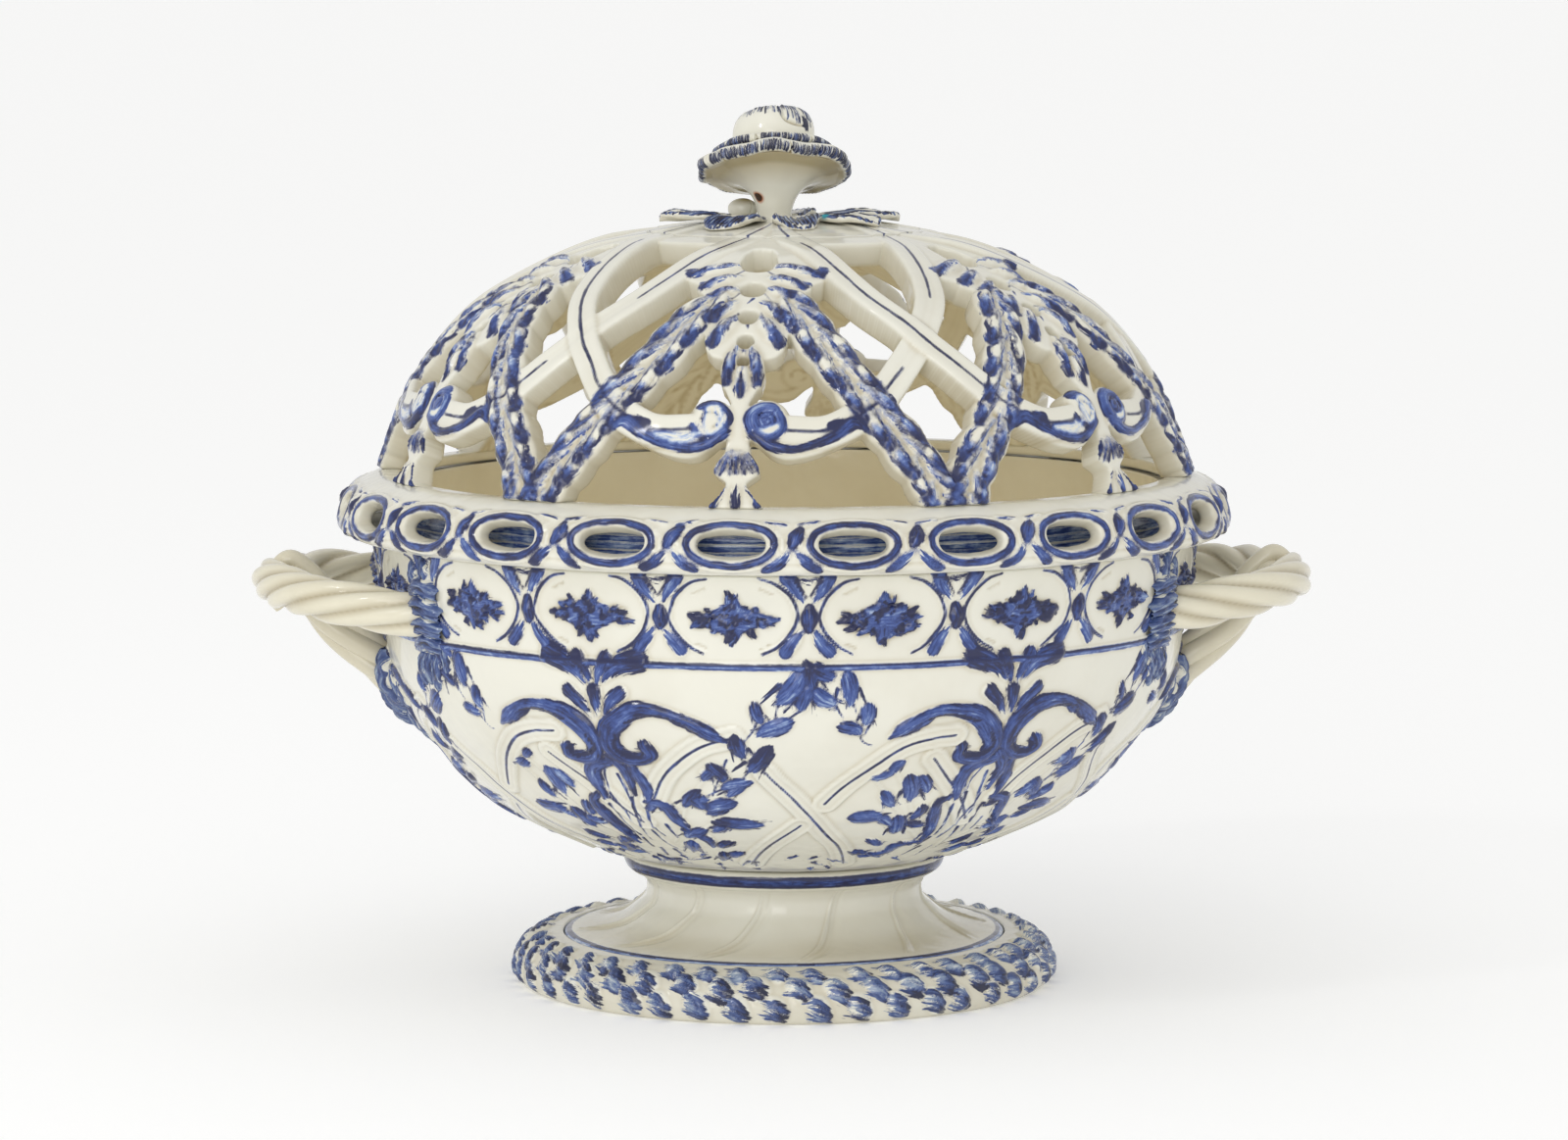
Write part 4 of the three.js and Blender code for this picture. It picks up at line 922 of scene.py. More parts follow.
foot_leaf_pairs = [
    [[-7.2, 10.4], [-6.4, 1.5], [-3, -9.6], 8.4, 6], [[0, 5], [0, -4], [0, -14.6], 9, 6.6],
    [[-8.6, 6.4], [-9.8, -0.5], [-7.4, -9], 5.4, 2.8], [[-4.2, -6.2], [-5.6, -12.4], [-3.4, -20.4], 6.2, 2.6],
    [[0, -7.6], [0.6, -14], [0, -23], 6.8, 3], [[-9.6, 2.8], [-12.6, -3.6], [-11.6, -12.2], 5, 1.8],
    [[-7.4, -9.6], [-9.6, -16.4], [-7.6, -24], 5, 1.8],
]
foot_leaves = []
for *path, width, lift in foot_leaf_pairs:
    for side in (1, -1) if path[0][0] else (1,):
        foot_leaves.append([*placed(path, 0, side), width, lift])
leaf_long = 26
leaf_wide = 13


# One moulded leaf on the bowl: a pointed mound, rounded off at its edges, sunk a little into the wall
def moulded_leaf(path, width, lift, angle, arc):
    line = smooth_line(path, 10)
    share = np.linspace(0, 1, leaf_long)[:, None]
    travelled = np.linspace(0, 1, len(line))
    spine = np.column_stack([np.interp(share[:, 0], travelled, line[:, n]) for n in (0, 1)])
    along = np.gradient(spine, axis=0)
    along /= np.linalg.norm(along, axis=1)[:, None]
    half = width / 2 * np.clip(np.sin(math.pi * np.clip(0.1 + 0.88 * share, 0, 1)) ** 0.62, 0.06, 1)
    half = half * (1 + 0.13 * np.sin(share * 24 + width))
    across = np.linspace(-1, 1, leaf_wide)[None, :]
    out = half * across
    spot_x = spine[:, :1] + out * along[:, 1:]
    spot_arc = arc + (spine[:, 1:] - out * along[:, :1])
    vein = 0.22 * np.exp(-(across / 0.12) ** 2) + 0.1 * np.cos(across * 9 + share * 14)
    swell = np.sin(math.pi * np.clip(0.06 + 0.9 * share, 0, 1)) ** 0.5
    body = np.sqrt(np.clip(1 - across ** 2, 0, 1)) * swell
    height = lift * body * (1 - vein) - 0.4
    radius = bowl.radius_at(spot_arc)
    rise, out_r, out_z = [np.interp(spot_arc, bowl.arcs, values)
                          for values in (bowl.line[:, 1], bowl.outward[:, 0], bowl.outward[:, 1])]
    points = round_axis(radius + height * out_r, math.radians(angle) + spot_x / radius, rise + height * out_z)
    seed = wander.uniform(0, 40)
    none = np.zeros_like(out)
    dark = vein * body
    marks = {
        "paint": (0.75 * width / 2 - np.abs(out) + 0.25).ravel(),
        "brush": np.stack([out, none + share * 16, none + seed], axis=-1).reshape(-1, 3),
        "tone": np.stack([none + 0.52, none + 0.7, np.clip(4.5 * dark, 0, 1.4)], axis=-1).reshape(-1, 3),
        "pool": np.clip(dark * 2, 0, 1).ravel(),
    }
    return points.reshape(-1, 3), marks


def grid_faces(rows, columns, first=0):
    i = np.arange(rows - 1)[:, None]
    j = np.arange(columns - 1)[None, :]
    here = first + i * columns + j
    return np.stack([here, here + 1, here + columns + 1, here + columns], axis=-1).reshape(-1, 4)


for side, word in ((1, "right"), (-1, "left")):
    for end, turn, height, leaves in (
        ("front", -handle_end_angle, handle_end_height, collar_leaves),
        ("back", handle_end_angle, handle_end_height, collar_leaves),
        ("lower", 0, prop_foot[word][1], foot_leaves),
    ):
        lean = 1 if (end == "front") == (side > 0) else -1
        arc = bowl.arc_at_height(height)
        made = [moulded_leaf(placed(path, 0, lean), width, lift, side * (90 + turn), arc)
                for *path, width, lift in leaves]
        points = np.concatenate([leaf[0] for leaf in made])
        faces = [grid_faces(leaf_long, leaf_wide, n * leaf_long * leaf_wide) for n in range(len(leaves))]
        marks = joined_marks(*[leaf[1] for leaf in made])
        name = f"handle_{word}_{end}_leaves"
        fired_piece(name, points, np.concatenate(faces), leaf_glaze, "base", marks)


# Cover flange: a turned moulding with a plain roll at its lower edge, pierced through with twenty-four
# ovals, each outlined in blue, with a bead and two brush leaves between every two of them.
hole_count = 24
hole_reach = 6.0
cover_turn = -9.7
flange_face = smooth_line([
    [115, 131.8], [119, 131.8], [123.4, 131.85], [126.8, 132.5], [128.9, 134.2], [129.3, 136.2], [129, 138.6],
    [128.2, 141.2], [126.9, 143.6], [124.9, 145.8], [122.2, 147.4], [119.4, 148.7], [117, 149.35],
    [114, 149.4], [110.9, 149.4],
], 10)
flange_back = smooth_line([
    [115, 134.2], [118.4, 134.2], [121.8, 134.4], [123, 135], [123.8, 136], [124.2, 137.2], [123.9, 138.6],
    [123.3, 140], [122.4, 141.4], [121, 142.8], [119.2, 144], [117.2, 145], [115.2, 145.8], [113, 146.1],
    [110.9, 146.2],
], 10)
flange = ClayWall(flange_face, 960, 0.5)
leg = np.hypot(*np.diff(flange_face, axis=0).T)
travelled = np.concatenate([[0], np.cumsum(leg)])
back_line = np.column_stack([np.interp(flange.arcs, travelled, flange_back[:, n]) for n in (0, 1)])
hole_arc = flange.arc_at_height(140.9)
per_mm = 180 / math.pi / flange.radius_at(hole_arc)
opening = np.full(flange.paint.shape, -9.0)


def around_oval(angle, out, up):
    return [[angle + out * per_mm * math.cos(t), hole_arc + up * math.sin(t)]
            for t in np.linspace(0, 2 * math.pi, 29)]


for n in range(hole_count):
    angle = cover_turn + n * 360 / hole_count
    middle = [[angle + hole_reach * per_mm * t, hole_arc] for t in (-1, -0.5, 0, 0.5, 1)]
    place, inside = flange.follow(middle, [7.2, 8.8, 9.3, 8.8, 7.2], 4.0)[:2]
    opening[place] = np.maximum(opening[place], inside)
    flange.press(around_oval(angle, 12.2, 6.0), [3.0], 0.7, 1.5)
    flange.press(around_oval(angle, 14.2, 7.8), [1.3], 0.55, 0.7)
    flange.stroke(around_oval(angle, 12.0, 6.1), [2.3, 2.5, 2.2, 2.4, 2.3], 0.72, 0.14, 0.3, 0.0, 0.08)
    between = angle + 180 / hole_count
    lean = wander.uniform(-0.6, 1.4)
    bead = placed([[0.7 + 0.5 * lean, 4.2], [0.4, 1.8], [-0.2, -0.8]], between, 1, hole_arc)
    flange.work(bead, ([2.6, 5.4, 2.8], 1.5, 2.4), ([2.6, 4.8, 2.6], 0.8, 0.3, 0.6, 0.15))
    for side in (1, -1):
        leaf = placed([[3.1, -7.4], [1.7, -5.0], [0.3, -1.6]], between, side, hole_arc)
        flange.press(leaf, [3.4, 3.8, 1.2], 0.8, 1.6)
        flange.stroke(leaf, [3.2, 3.4, 0.8], wander.uniform(0.6, 0.95), 0.6, 0.5, 0.5)
        flange.stroke(leaf[:2], [0.6, 0.9, 0.6], 1.1, 0.3, 1.0, 0.0, 0.2, atop=True)
        dash = placed([[0.8, 5.8], [3.2, 7.2]], between, side, hole_arc)
        flange.work(dash, ([2.6, 2.2], 0.5, 1.0), ([1.2, 2.2, 0.8], 0.5, 0.7, 0.9, 0.3))
        rib = placed([[1.6, 4.6], [2.2, 1.0], [1.9, -2.4]], between, side, hole_arc)
        flange.press(rib, [1.0], 0.5, 0.5)
flange.press_ring(flange.arc_at_height(133.4) + 2.2, 1.2, -0.35, 0.6)


# The skin of a solid given as depths inside the clay on a grid that wraps round its first axis
def clay_skin(depth):
    size = np.array(depth.shape)
    cells = size - [0, 1, 1]
    cell_count = cells.prod()
    solid = depth > 0
    sums = np.zeros((cell_count, 3))
    hits = np.zeros(cell_count)
    faces = []
    for axis in range(3):
        ahead = np.roll(depth, -1, axis)
        crossed = solid != (ahead > 0)
        if axis:
            np.moveaxis(crossed, axis, 0)[-1] = False
        at = np.argwhere(crossed)
        here = depth[crossed]
        first, second = [n for n in range(3) if n != axis]
        corners = []
        sound = np.ones(len(at), bool)
        for step in ((-1, -1), (0, -1), (0, 0), (-1, 0)):
            cell = at.copy()
            cell[:, [first, second]] += step
            spot = np.zeros((len(at), 3))
            spot[:, axis] = here / (here - ahead[crossed])
            spot[:, [first, second]] = -np.array(step)
            fits = ((cell[:, 1:] >= 0) & (cell[:, 1:] < cells[1:])).all(axis=1)
            cell[:, 0] %= size[0]
            ids = np.ravel_multi_index(np.clip(cell, 0, cells - 1).T, cells)
            for n in range(3):
                sums[:, n] += np.bincount(ids[fits], spot[fits, n], cell_count)
            hits += np.bincount(ids[fits], minlength=cell_count)
            corners.append(ids)
            sound &= fits
        quad = np.stack(corners, axis=-1)
        turned = solid[crossed] == (axis == 1)
        quad = np.where(turned[:, None], quad[:, ::-1], quad)
        faces.append(quad[sound])
    used = np.nonzero(hits)[0]
    spots = np.stack(np.unravel_index(used, cells), axis=-1) + sums[used] / hits[used][:, None]
    renumber = np.zeros(cell_count, int)
    renumber[used] = np.arange(len(used))
    return spots, renumber[np.concatenate(faces)]


# Each point moved half way to the middle of its neighbours
def settled(points, quads):
    sums = np.zeros_like(points)
    links = np.zeros(len(points))
    for a, b in ((0, 1), (1, 2), (2, 3), (3, 0)):
        for one, other in ((a, b), (b, a)):
            for n in range(3):
                sums[:, n] += np.bincount(quads[:, one], points[quads[:, other], n], len(points))
            links += np.bincount(quads[:, one], minlength=len(points))
    return (points + sums / links[:, None]) / 2


# The painter's record read at fractional places of a wall
def read_wall(values, spots):
    row = np.clip(spots[:, 1], 0, values.shape[0] - 1.001)
    low = row.astype(int)
    left = np.floor(spots[:, 0]).astype(int)
    up = (row - low).reshape(-1, *[1] * (values.ndim - 2))
    right = (spots[:, 0] - left).reshape(up.shape)
    near = left % values.shape[1]
    beside = (left + 1) % values.shape[1]
    return ((values[low, near] * (1 - right) + values[low, beside] * right) * (1 - up)
            + (values[low + 1, near] * (1 - right) + values[low + 1, beside] * right) * up)


# A pierced shell between a wall's face and its back, with the edges of its openings rounded off
def pierced_piece(name, wall, back_line, clay, levels, edge, nodes=None):
    levels = np.array(levels)
    thickness = np.linalg.norm(back_line - wall.line, axis=1)
    ends = np.minimum(wall.arcs, wall.arcs[-1] - wall.arcs)[None, :, None] - 0.25
    depths = (
        clay.T[:, :, None],
        wall.relief.T[:, :, None] - levels,
        levels[None, None, :] + thickness[None, :, None],
        ends,
    )
    short = sum(np.clip(edge - depth, 0, None) ** 2 for depth in depths)
    spots, quads = clay_skin(edge - np.sqrt(short))
    rows = np.arange(len(wall.arcs))
    level = np.interp(spots[:, 2], np.arange(len(levels)), levels)

    def read_line(line):
        return np.column_stack([np.interp(spots[:, 1], rows, line[:, n]) for n in (0, 1)])

    thick = np.interp(spots[:, 1], rows, thickness)
    line = read_line(wall.line)
    line = line + (np.clip(-level, 0, None) / thick)[:, None] * (read_line(back_line) - line)
    line = line + np.clip(level, 0, None)[:, None] * read_line(wall.outward)
    points = round_axis(line[:, 0], np.radians(spots[:, 0] * 360 / len(wall.angles)), line[:, 1])
    under = read_wall(wall.relief, spots) - level
    # Painted shade: the cut walls of the openings and the back of the shell darken the deeper they lie
    shade = np.clip(under / thick - 0.1, 0, 1) * 0.16
    marks = {
        "paint": read_wall(wall.paint, spots) - 2.5 * np.clip(under - 0.7, 0, 1.5),
        "brush": read_wall(wall.brush, spots),
        "tone": read_wall(wall.tone, spots),
        "pool": read_wall(finished_relief(wall) + wall.pool, spots) + shade,
    }
    points = settled(points, quads)
    fired_piece(name, points, quads, cobalt_glaze, "cover", marks, nodes)


levels = [-6.2, -4.9, -4.2, -3.4, -2.6, -1.9, -1.3, -0.7, -0.2, 0.3, 0.8, 1.3, 2.1]
pierced_piece("cover_flange", flange, back_line, -opening, levels, 0.9)


# Dome: one moulded shell, its wall cut through by knife while leather hard, so that six palmettes stand
# between husk garlands and crossing ribbons. The brush marks the husks' tips and lines the ribbons.
dome_columns = 960
dome_wall = 7.0
dome_foot = 149.1
dome_radius = 117.8
dome_rise = 73.1
crown_arc = 112.0
dome_shape = np.array([
    [1, 0], [0.957, 0.185], [0.916, 0.343], [0.832, 0.539], [0.733, 0.695], [0.559, 0.851],
    [0.41, 0.931], [0.2, 0.987], [0, 1],
])
dome_face = smooth_line(np.array([0, dome_foot]) + dome_shape * [dome_radius, dome_rise], 16)
whole_dome = ClayWall(dome_face, 12, 0.6)
dome = ClayWall(whole_dome.line[whole_dome.arcs <= crown_arc], dome_columns, 0.6)
dome_back = dome.line - dome_wall * dome.outward
dome_back[:, 1] = np.maximum(dome_back[:, 1], dome_foot)
clay = np.full(dome.paint.shape, -9.0)
cut_out = clay.copy()


def lay_strip(target, path, widths):
    found = dome.follow(path, widths, 4.0)
    if found:
        place, inside = found[:2]
        target[place] = np.maximum(target[place], inside)


# The inside of an outline of [angle, arc], as depths from its edge
def lay_plate(target, outline):
    outline = np.array(outline, float)
    rows, columns = dome.spot_near(outline, 4.0)
    turn = (columns * 360 / dome_columns)[None, :]
    arcs = dome.arcs[rows][:, None]
    radius = dome.line[rows, 0][:, None]
    inside = np.zeros((len(rows), len(columns)), bool)
    away = np.full(inside.shape, 9.0)
    for (a0, s0), (a1, s1) in zip(outline, np.roll(outline, -1, axis=0)):
        crosses = (s0 > arcs) != (s1 > arcs)
        at = a0 + (arcs - s0) / (s1 - s0 + 1e-9) * (a1 - a0)
        inside ^= crosses & (turn < at)
        out = math.radians(a1 - a0) * dome.radius_at((s0 + s1) / 2)
        up = s1 - s0
        dx = np.radians(turn - a0) * radius
        dy = arcs - s0
        t = np.clip((dx * out + dy * up) / (out ** 2 + up ** 2 + 1e-9), 0, 1)
        away = np.minimum(away, np.hypot(dx - t * out, dy - t * up))
    place = np.ix_(rows, columns % dome_columns)
    target[place] = np.maximum(target[place], np.where(inside, away, -away))


ribbon = [[7, 22.2], [12, 22], [15.6, 24.5], [19.5, 29], [22.5, 35], [25.5, 41.5], [28.6, 48], [32, 56],
          [36.5, 67], [40.5, 80], [44, 92], [48, 102], [52.5, 113]]
garland = [[6, 72], [8.4, 65], [10.5, 58], [12.5, 51], [15.2, 42.5], [17.8, 35], [20, 28], [22.2, 22],
           [25, 15], [26.9, 9], [28.3, 3], [28.8, -1]]
garland_widths = [6, 8, 8.6, 8.6, 8.6, 8.6, 8.6, 8.4, 8.2, 8, 8, 9]
palmette = [[3.9, -1], [3.8, 0.6], [2.9, 2.4], [1.4, 6.8], [1.5, 8], [3.3, 10.4], [3, 12.4], [1.9, 16],
            [1.5, 20], [1.4, 24], [1.3, 29.5], [1.5, 31.2], [2.5, 35], [2.8, 40], [3.3, 44.4], [5.2, 45.4],
            [6.4, 47.6], [7.1, 51], [7.2, 55], [6.6, 60], [6.2, 65], [8.9, 67.6], [9.6, 70], [11.6, 72.6],
            [12.6, 76], [15.6, 78], [16.4, 80.6], [14.4, 84], [12, 90], [9.4, 96], [7.5, 103], [6, 113]]
arm = [[17.6, 23.4], [13.6, 20.8], [10, 18.6], [6.4, 18.4], [4, 22]]
keyhole = [[0, 83.2], [2.4, 83.8], [4.5, 86], [4.9, 90], [4.4, 95], [2.8, 98.6], [0, 99.4]]
button_holes = [[73.5, 3.6], [60.4, 2.9], [50.8, 2.4], [43.8, 1.8]]
for n in range(unit_count):
    centre = cover_turn + n * unit
    for side in (1, -1):
        own_ribbon = placed(ribbon, centre, side)
        lay_strip(clay, own_ribbon, [9.6, 9.6, 9.2, 8.8, 9.2, 9.6, 9.8])
        dome.press(own_ribbon, [10.4], 1.5 if side < 0 else 0.7, 1.3)
        dome.press(own_ribbon[2:], [5.0], -0.25, 1.6)
        lay_strip(clay, placed(garland, centre, side), garland_widths)
        lay_strip(clay, placed(arm, centre, side), [2.0, 6.0, 6.4, 7.6, 8.0])
        lay_strip(clay, placed([[4.0, 24.8], [4.0, 25.2]], centre, side), [13.0])
    lay_plate(clay, placed(palmette, centre) + placed(palmette[::-1], centre, -1))
    lay_plate(cut_out, placed(keyhole, centre) + placed(keyhole[-2:0:-1], centre, -1))
    for arc, radius in button_holes:
        lay_strip(cut_out, [[centre, arc - 0.1], [centre, arc + 0.1]], [2 * radius])
clay = np.maximum(clay, np.clip((dome.arcs - 103.5), -9, 9)[:, None])


# A husk or lobe: a curled leaf whose tip is filled with blue that is drawn back dry along the leaf, with a
# fuller stroke down its outer edge and veins scored beside its rib
def husk(start, tip, out, width, load, blue):
    middle = (start + tip) / 2 + out * 0.3
    path = np.array([start, middle, tip])
    lay_strip(clay, path, [0.6 * width, width, 0.95 * width, 0.5 * width])
    dome.press(path, [0.5 * width, width, 0.95 * width, 0.35 * width], 2.1, 0.5 * width)
    for share in (-0.24, 0.0, 0.26):
        stalk, rib, _ = path + out * share * 2.2
        dome.press([stalk * 0.8 + rib * 0.2, rib, rib * 0.3 + tip * 0.7], [0.5, 0.9, 0.5], -0.55, 0.5)
    back = tip + (start - tip) * blue
    for line, widths, *brush in (
        ([tip, (tip + back) / 2 + out * 0.25, back + out * 0.4], [0.4 * width, 0.64 * width, 0.3 * width],
         load, 1.0, 0.35, 0.75, 0.2),
        ([tip, middle + out * 0.7, start * 0.6 + middle * 0.4 + out * 0.6], [1.6, 1.9, 1.2, 0.7],
         load * 1.1, 0.5, 0.5, 0.35, 0.2, True),
        ([back * 0.6 + tip * 0.4 - out * 0.3, start - out * 0.2], [1.6, 0.9], load * 0.8, 0.9, 0.2, 0.7, 0.3),
        ([tip * 0.45 + start * 0.55 + out * 0.1, tip * 0.1 + start * 0.9 + out * 0.1], [0.9, 0.7],
         0.95, 0.1, 1, 0),
        ([tip * 0.95 + start * 0.05, tip * 0.6 + start * 0.4], [0.8, 0.5], 1.1, 0.2, 1.2, 0.0, 0.3, True),
    ):
        dome.stroke(line, widths, *brush)


# The sideways step of so many millimetres from a line between two spots on the dome
def sideways(start, tip, distance):
    radius = dome.radius_at((start[1] + tip[1]) / 2)
    way = (tip - start) * [math.radians(1) * radius, 1]
    way /= np.linalg.norm(way)
    return distance * np.array([math.degrees(way[1] / radius), -way[0]])


def volute(middle, reach, first, last, side):
    per_mm = 180 / math.pi / dome.radius_at(25)
    return [[middle + side * reach * per_mm * math.sin(t), 25 + reach * math.cos(t)]
            for t in np.radians(np.linspace(first, last, 9))]


arm_line = [[18.8, 21.2], [16.6, 24.2], [13.6, 20.6], [10.4, 18.2], [7.4, 17.2], [4.6, 18.2], [2.2, 21.4]]
lobes = [
    [[3.8, 86], [15.6, 80.2], 7.4, 0.3], [[3.4, 79.4], [11.2, 74.2], 6.6, 0.35],
    [[3.2, 73.2], [8.4, 68.8], 6, 0.4],
    [[2.8, 66.6], [6.2, 58.4], 6.4, 0.4], [[2.2, 60], [5.6, 49], 7.2, 0.45], [[1.2, 49], [2.4, 36.4], 5, 0.5],
]
lobe_lines = [[[2.6, 84], [6.4, 78.6], [9, 77.4]], [[2.4, 72], [4.4, 66]], [[2, 62], [3.4, 54]]]
for n in range(unit_count):
    centre = cover_turn + n * unit
    for side in (-1, 1):
        for start, tip, width, blue in lobes:
            start, tip = np.array(placed([start, tip], centre, side))
            out = sideways(start, tip, -side * 1.6)
            husk(start, tip, out, width, wander.uniform(0.62, 0.88), blue)
            for aside in (-0.5, 0.6, 1.3):
                dome.stroke([tip + out * aside, tip * 0.55 + start * 0.45 + out * aside * 0.7], [1.8, 0.8],
                            wander.uniform(0.5, 0.9), 0.9, 0.4, 0.6, 0.2)
        for line in lobe_lines:
            dome.stroke(placed(line, centre, side), [0.8, 1.0, 0.8], 0.9, 0.1, 0.9, 0.1)
        line = placed(ribbon, centre, side)
        dome.stroke(line[:-1] if side < 0 else line[:6], [1.1, 1.3, 1.1], 0.85, 0.1, 0.8, 0.0, 0.12)
        if side > 0:
            dome.stroke(line[8:], [1.0, 1.2, 1.0], 0.85, 0.1, 0.8, 0.0, 0.12)
        line = placed(arm_line, centre, side)
        dome.work(line, ([1.6, 4.6, 4.0, 3.2, 3.4, 4.4, 5.0], 1.5, 1.8),
                  ([1.2, 4.4, 3.4, 2.6, 2.6, 3.6, 4.4], 0.66, 0.35, 0.3, -0.1))
        dome.stroke(placed([[13.2, 23.4], [14.6, 24.6]], centre, side), [2.8, 2.4], 0.9, 0.3, 0.7, 0.0)
        eye = centre + side * 4.0
        dome.press([[eye, 24.6], [eye, 25.4]], [12.6], 1.6, 2.6)
        dome.press(volute(eye, 2.4, 200, 470, side), [0.9, 1.2, 0.8], -1.1, 0.7)
        if side > 0:
            curl = volute(eye, 3.0, -20, 330, -side)
            dome.stroke(curl, [6.4, 6.8, 6.6, 6.4, 6.0, 4.0], 0.62, 0.35, 0.3, 0.1)
            curl = volute(eye, 3.2, 120, 215, side)
            dome.stroke(curl, [0.8, 1.6, 0.6], -0.3, 0.5, 0.0, 0.0, 0.1, atop=True)
        else:
            dome.stroke(volute(eye, 5.2, -30, 250, -side), [3.8, 2.6, 2.0, 1.8, 2.0, 2.4], 0.7, 0.3, 0.3, 0.0)
            dome.stroke([[eye + 0.3, 27.4], [eye + 0.6, 23.0]], [5.4, 6.0], 0.02, 0.6, 0.0, 0.0)
            dome.stroke([[eye - 1.0, 28.6], [eye - 1.2, 22.4]], [1.2, 0.8], 0.6, 0.8, 0.2, 0.2)
            line = placed([[11.4, 20.6], [8.0, 19.6], [5.6, 21.0]], centre, side)
            dome.stroke(line, [2.4, 3.4, 2.0], 0.1, 0.7, 0.0, 0.0)
        along = smooth_line(placed(garland, centre, side), 8)
        for share in np.linspace(0.01, 0.93, 9):
            for edge in (1, -1):
                first = share + 0.028 * edge + wander.normal(0, 0.006)
                at = np.clip([first, first + 0.175], 0, 1) * (len(along) - 1)
                start, tip = np.transpose([np.interp(at, np.arange(len(along)), line) for line in along.T])
                out = sideways(start, tip, edge * 2.9)
                width = wander.uniform(6.2, 7.4)
                load = wander.uniform(0.62, 1.0)
                husk(start + out * 0.35, tip + out * 1.45, out, width, load, wander.uniform(0.25, 0.6))
    husk(np.array([centre, 44.0]), np.array([centre, 32.6]), np.zeros(2), 5.6, 0.85, 0.4)
    for turn in (-3.0, -1.9, -0.9, 0, 0.9, 1.9, 3.0):
        fringe = placed([[0.4, 16.4], [0.8, 13.2], [1.15, 10.2]], centre, turn)
        dome.press(fringe, [1.2, 2.2, 1.0], 1.1, 1.0)
        dome.stroke(fringe[::-1], [1.4, 1.9, 0.5], wander.uniform(0.6, 0.9), 0.7, 0.5, 0.3)
    for turn in (-3.2, 0, 3.2):
        tuft = placed([[0.4, 6.8], [0.85, 3.8], [1, 0.7]], centre, turn)
        dome.press(tuft, [1.6, 3.2, 3.0], 1.2, 1.4)
        dome.stroke(tuft[::-1], [2.8, 2.6, 0.5], wander.uniform(0.6, 0.9), 0.8, 0.5, 0.3)
    for tick in ([[0.5, 68.8], [-0.5, 66.2]], [[0.1, 57], [0.3, 54.6]], [[0, 47.8], [0.1, 46.4]]):
        dome.stroke(placed(tick, centre), [1.4, 0.8], 0.7, 0.3, 0.6, 0.1)
clay = np.minimum(clay, -cut_out)
dome.relief *= np.interp(dome.arcs, [crown_arc - 14, crown_arc - 1], [1, 0.3])[:, None]

levels = [-8.4, -7.3, -6.6, -5.8, -4.8, -3.7, -2.7, -1.8, -1.0, -0.3, 0.3, 0.9, 1.5, 2.1, 2.8]
lattice_nodes = [f"cover_{word}_{n + 1}" for n in range(unit_count)
                 for word in ("palmette", "garland_left", "garland_right", "ribbon_crossing")]
pierced_piece("cover_pierced_dome", dome, dome_back, clay, levels, 0.6, lattice_nodes)


# Crown: the closed top of the same shell, smoothed with a wet finger, on which the flower stands
crown = ClayWall(whole_dome.line[whole_dome.arcs >= crown_arc - 1.2][:-2], 480, 0.8)
for n in range(unit_count):
    for side in (1, -1):
        tail = placed([[51.6, -1], [54, 6], [56.6, 14], [58, 24]], cover_turn + n * unit, side)
        crown.stroke(tail, [1.2, 1.0, 0.9, 0.4], 0.8, 0.1, 0.8, 0.2, 0.1)
        crown.press(tail, [9.8, 8, 6, 3], 0.5, 1.6)
crown.relief += 0.12
crown_back = [p - dome_wall * o for p, o in zip(crown.line[::-6], crown.outward[::-6]) if p[0] > 4]
# The underside of the crown, seen through the lattice, carries khaki as painted shade
turned_piece("cover_crown", crown, crown_back, cobalt_glaze, "cover", 0.4)


# Stem of the flower: a rolled coil of clay that flares like a trumpet and leans back under the brim.
# Its underside is bare of paint, and khaki is painted on it as shade where it widens under the brim.
stem_lean = math.radians(20.0)
finial_foot = 222.3
head_rise = 12.8
head_drift = -2.8
stem_sides = 120
stem_shape = smooth_line([
    [5.4, -0.08], [5, 0.06], [5.1, 0.2], [5.6, 0.34], [6.4, 0.48], [7.5, 0.6], [9.1, 0.71], [11.4, 0.81],
    [14.4, 0.9], [17.4, 0.965], [20.4, 1.01],
], 7)


# Leans points of the flower head back with the stem and sets them on the stem's end
def on_stem(points, seat):
    y = points[..., 1]
    z = points[..., 2] + seat
    back = y * math.cos(stem_lean) + z * math.sin(stem_lean)
    up = -y * math.sin(stem_lean) + z * math.cos(stem_lean)
    return np.stack([points[..., 0] + head_drift, back, up + finial_foot + head_rise], axis=-1)


turn = np.arange(stem_sides) * 2 * math.pi / stem_sides
rows = []
underside_shade = []
for radius, up in stem_shape:
    lean = stem_lean * np.clip((radius - 5.6) / 9, 0, 1)
    wave = radius * (1 + 0.02 * np.cos(3 * turn + 1) + 0.012 * np.cos(7 * turn))
    y = -wave * np.cos(turn)
    z = up * head_rise - y * math.sin(lean) + finial_foot
    rows.append(np.stack([wave * np.sin(turn) + head_drift, y * math.cos(lean), z], axis=-1))
    underside_shade.append(np.full(stem_sides, np.clip((radius - 9) / 9, 0, 0.8)))
for end, place in ((rows[-1], len(rows)), (rows[0], 0)):
    rows.insert(place, end.mean(0) + (end - end.mean(0)) * 0.05)
    underside_shade.insert(place, np.full(stem_sides, 0.5))
marks = bare_marks(underside_shade)
rust_spot = rows[30][(turn > math.radians(312)).argmax()]
marks["fleck"] = fleck_at(rows, rust_spot, 1.9)
faces = ring_faces(len(rows), stem_sides, True)
fired_piece("finial_stem", rows, faces, cobalt_glaze, "cover", marks)


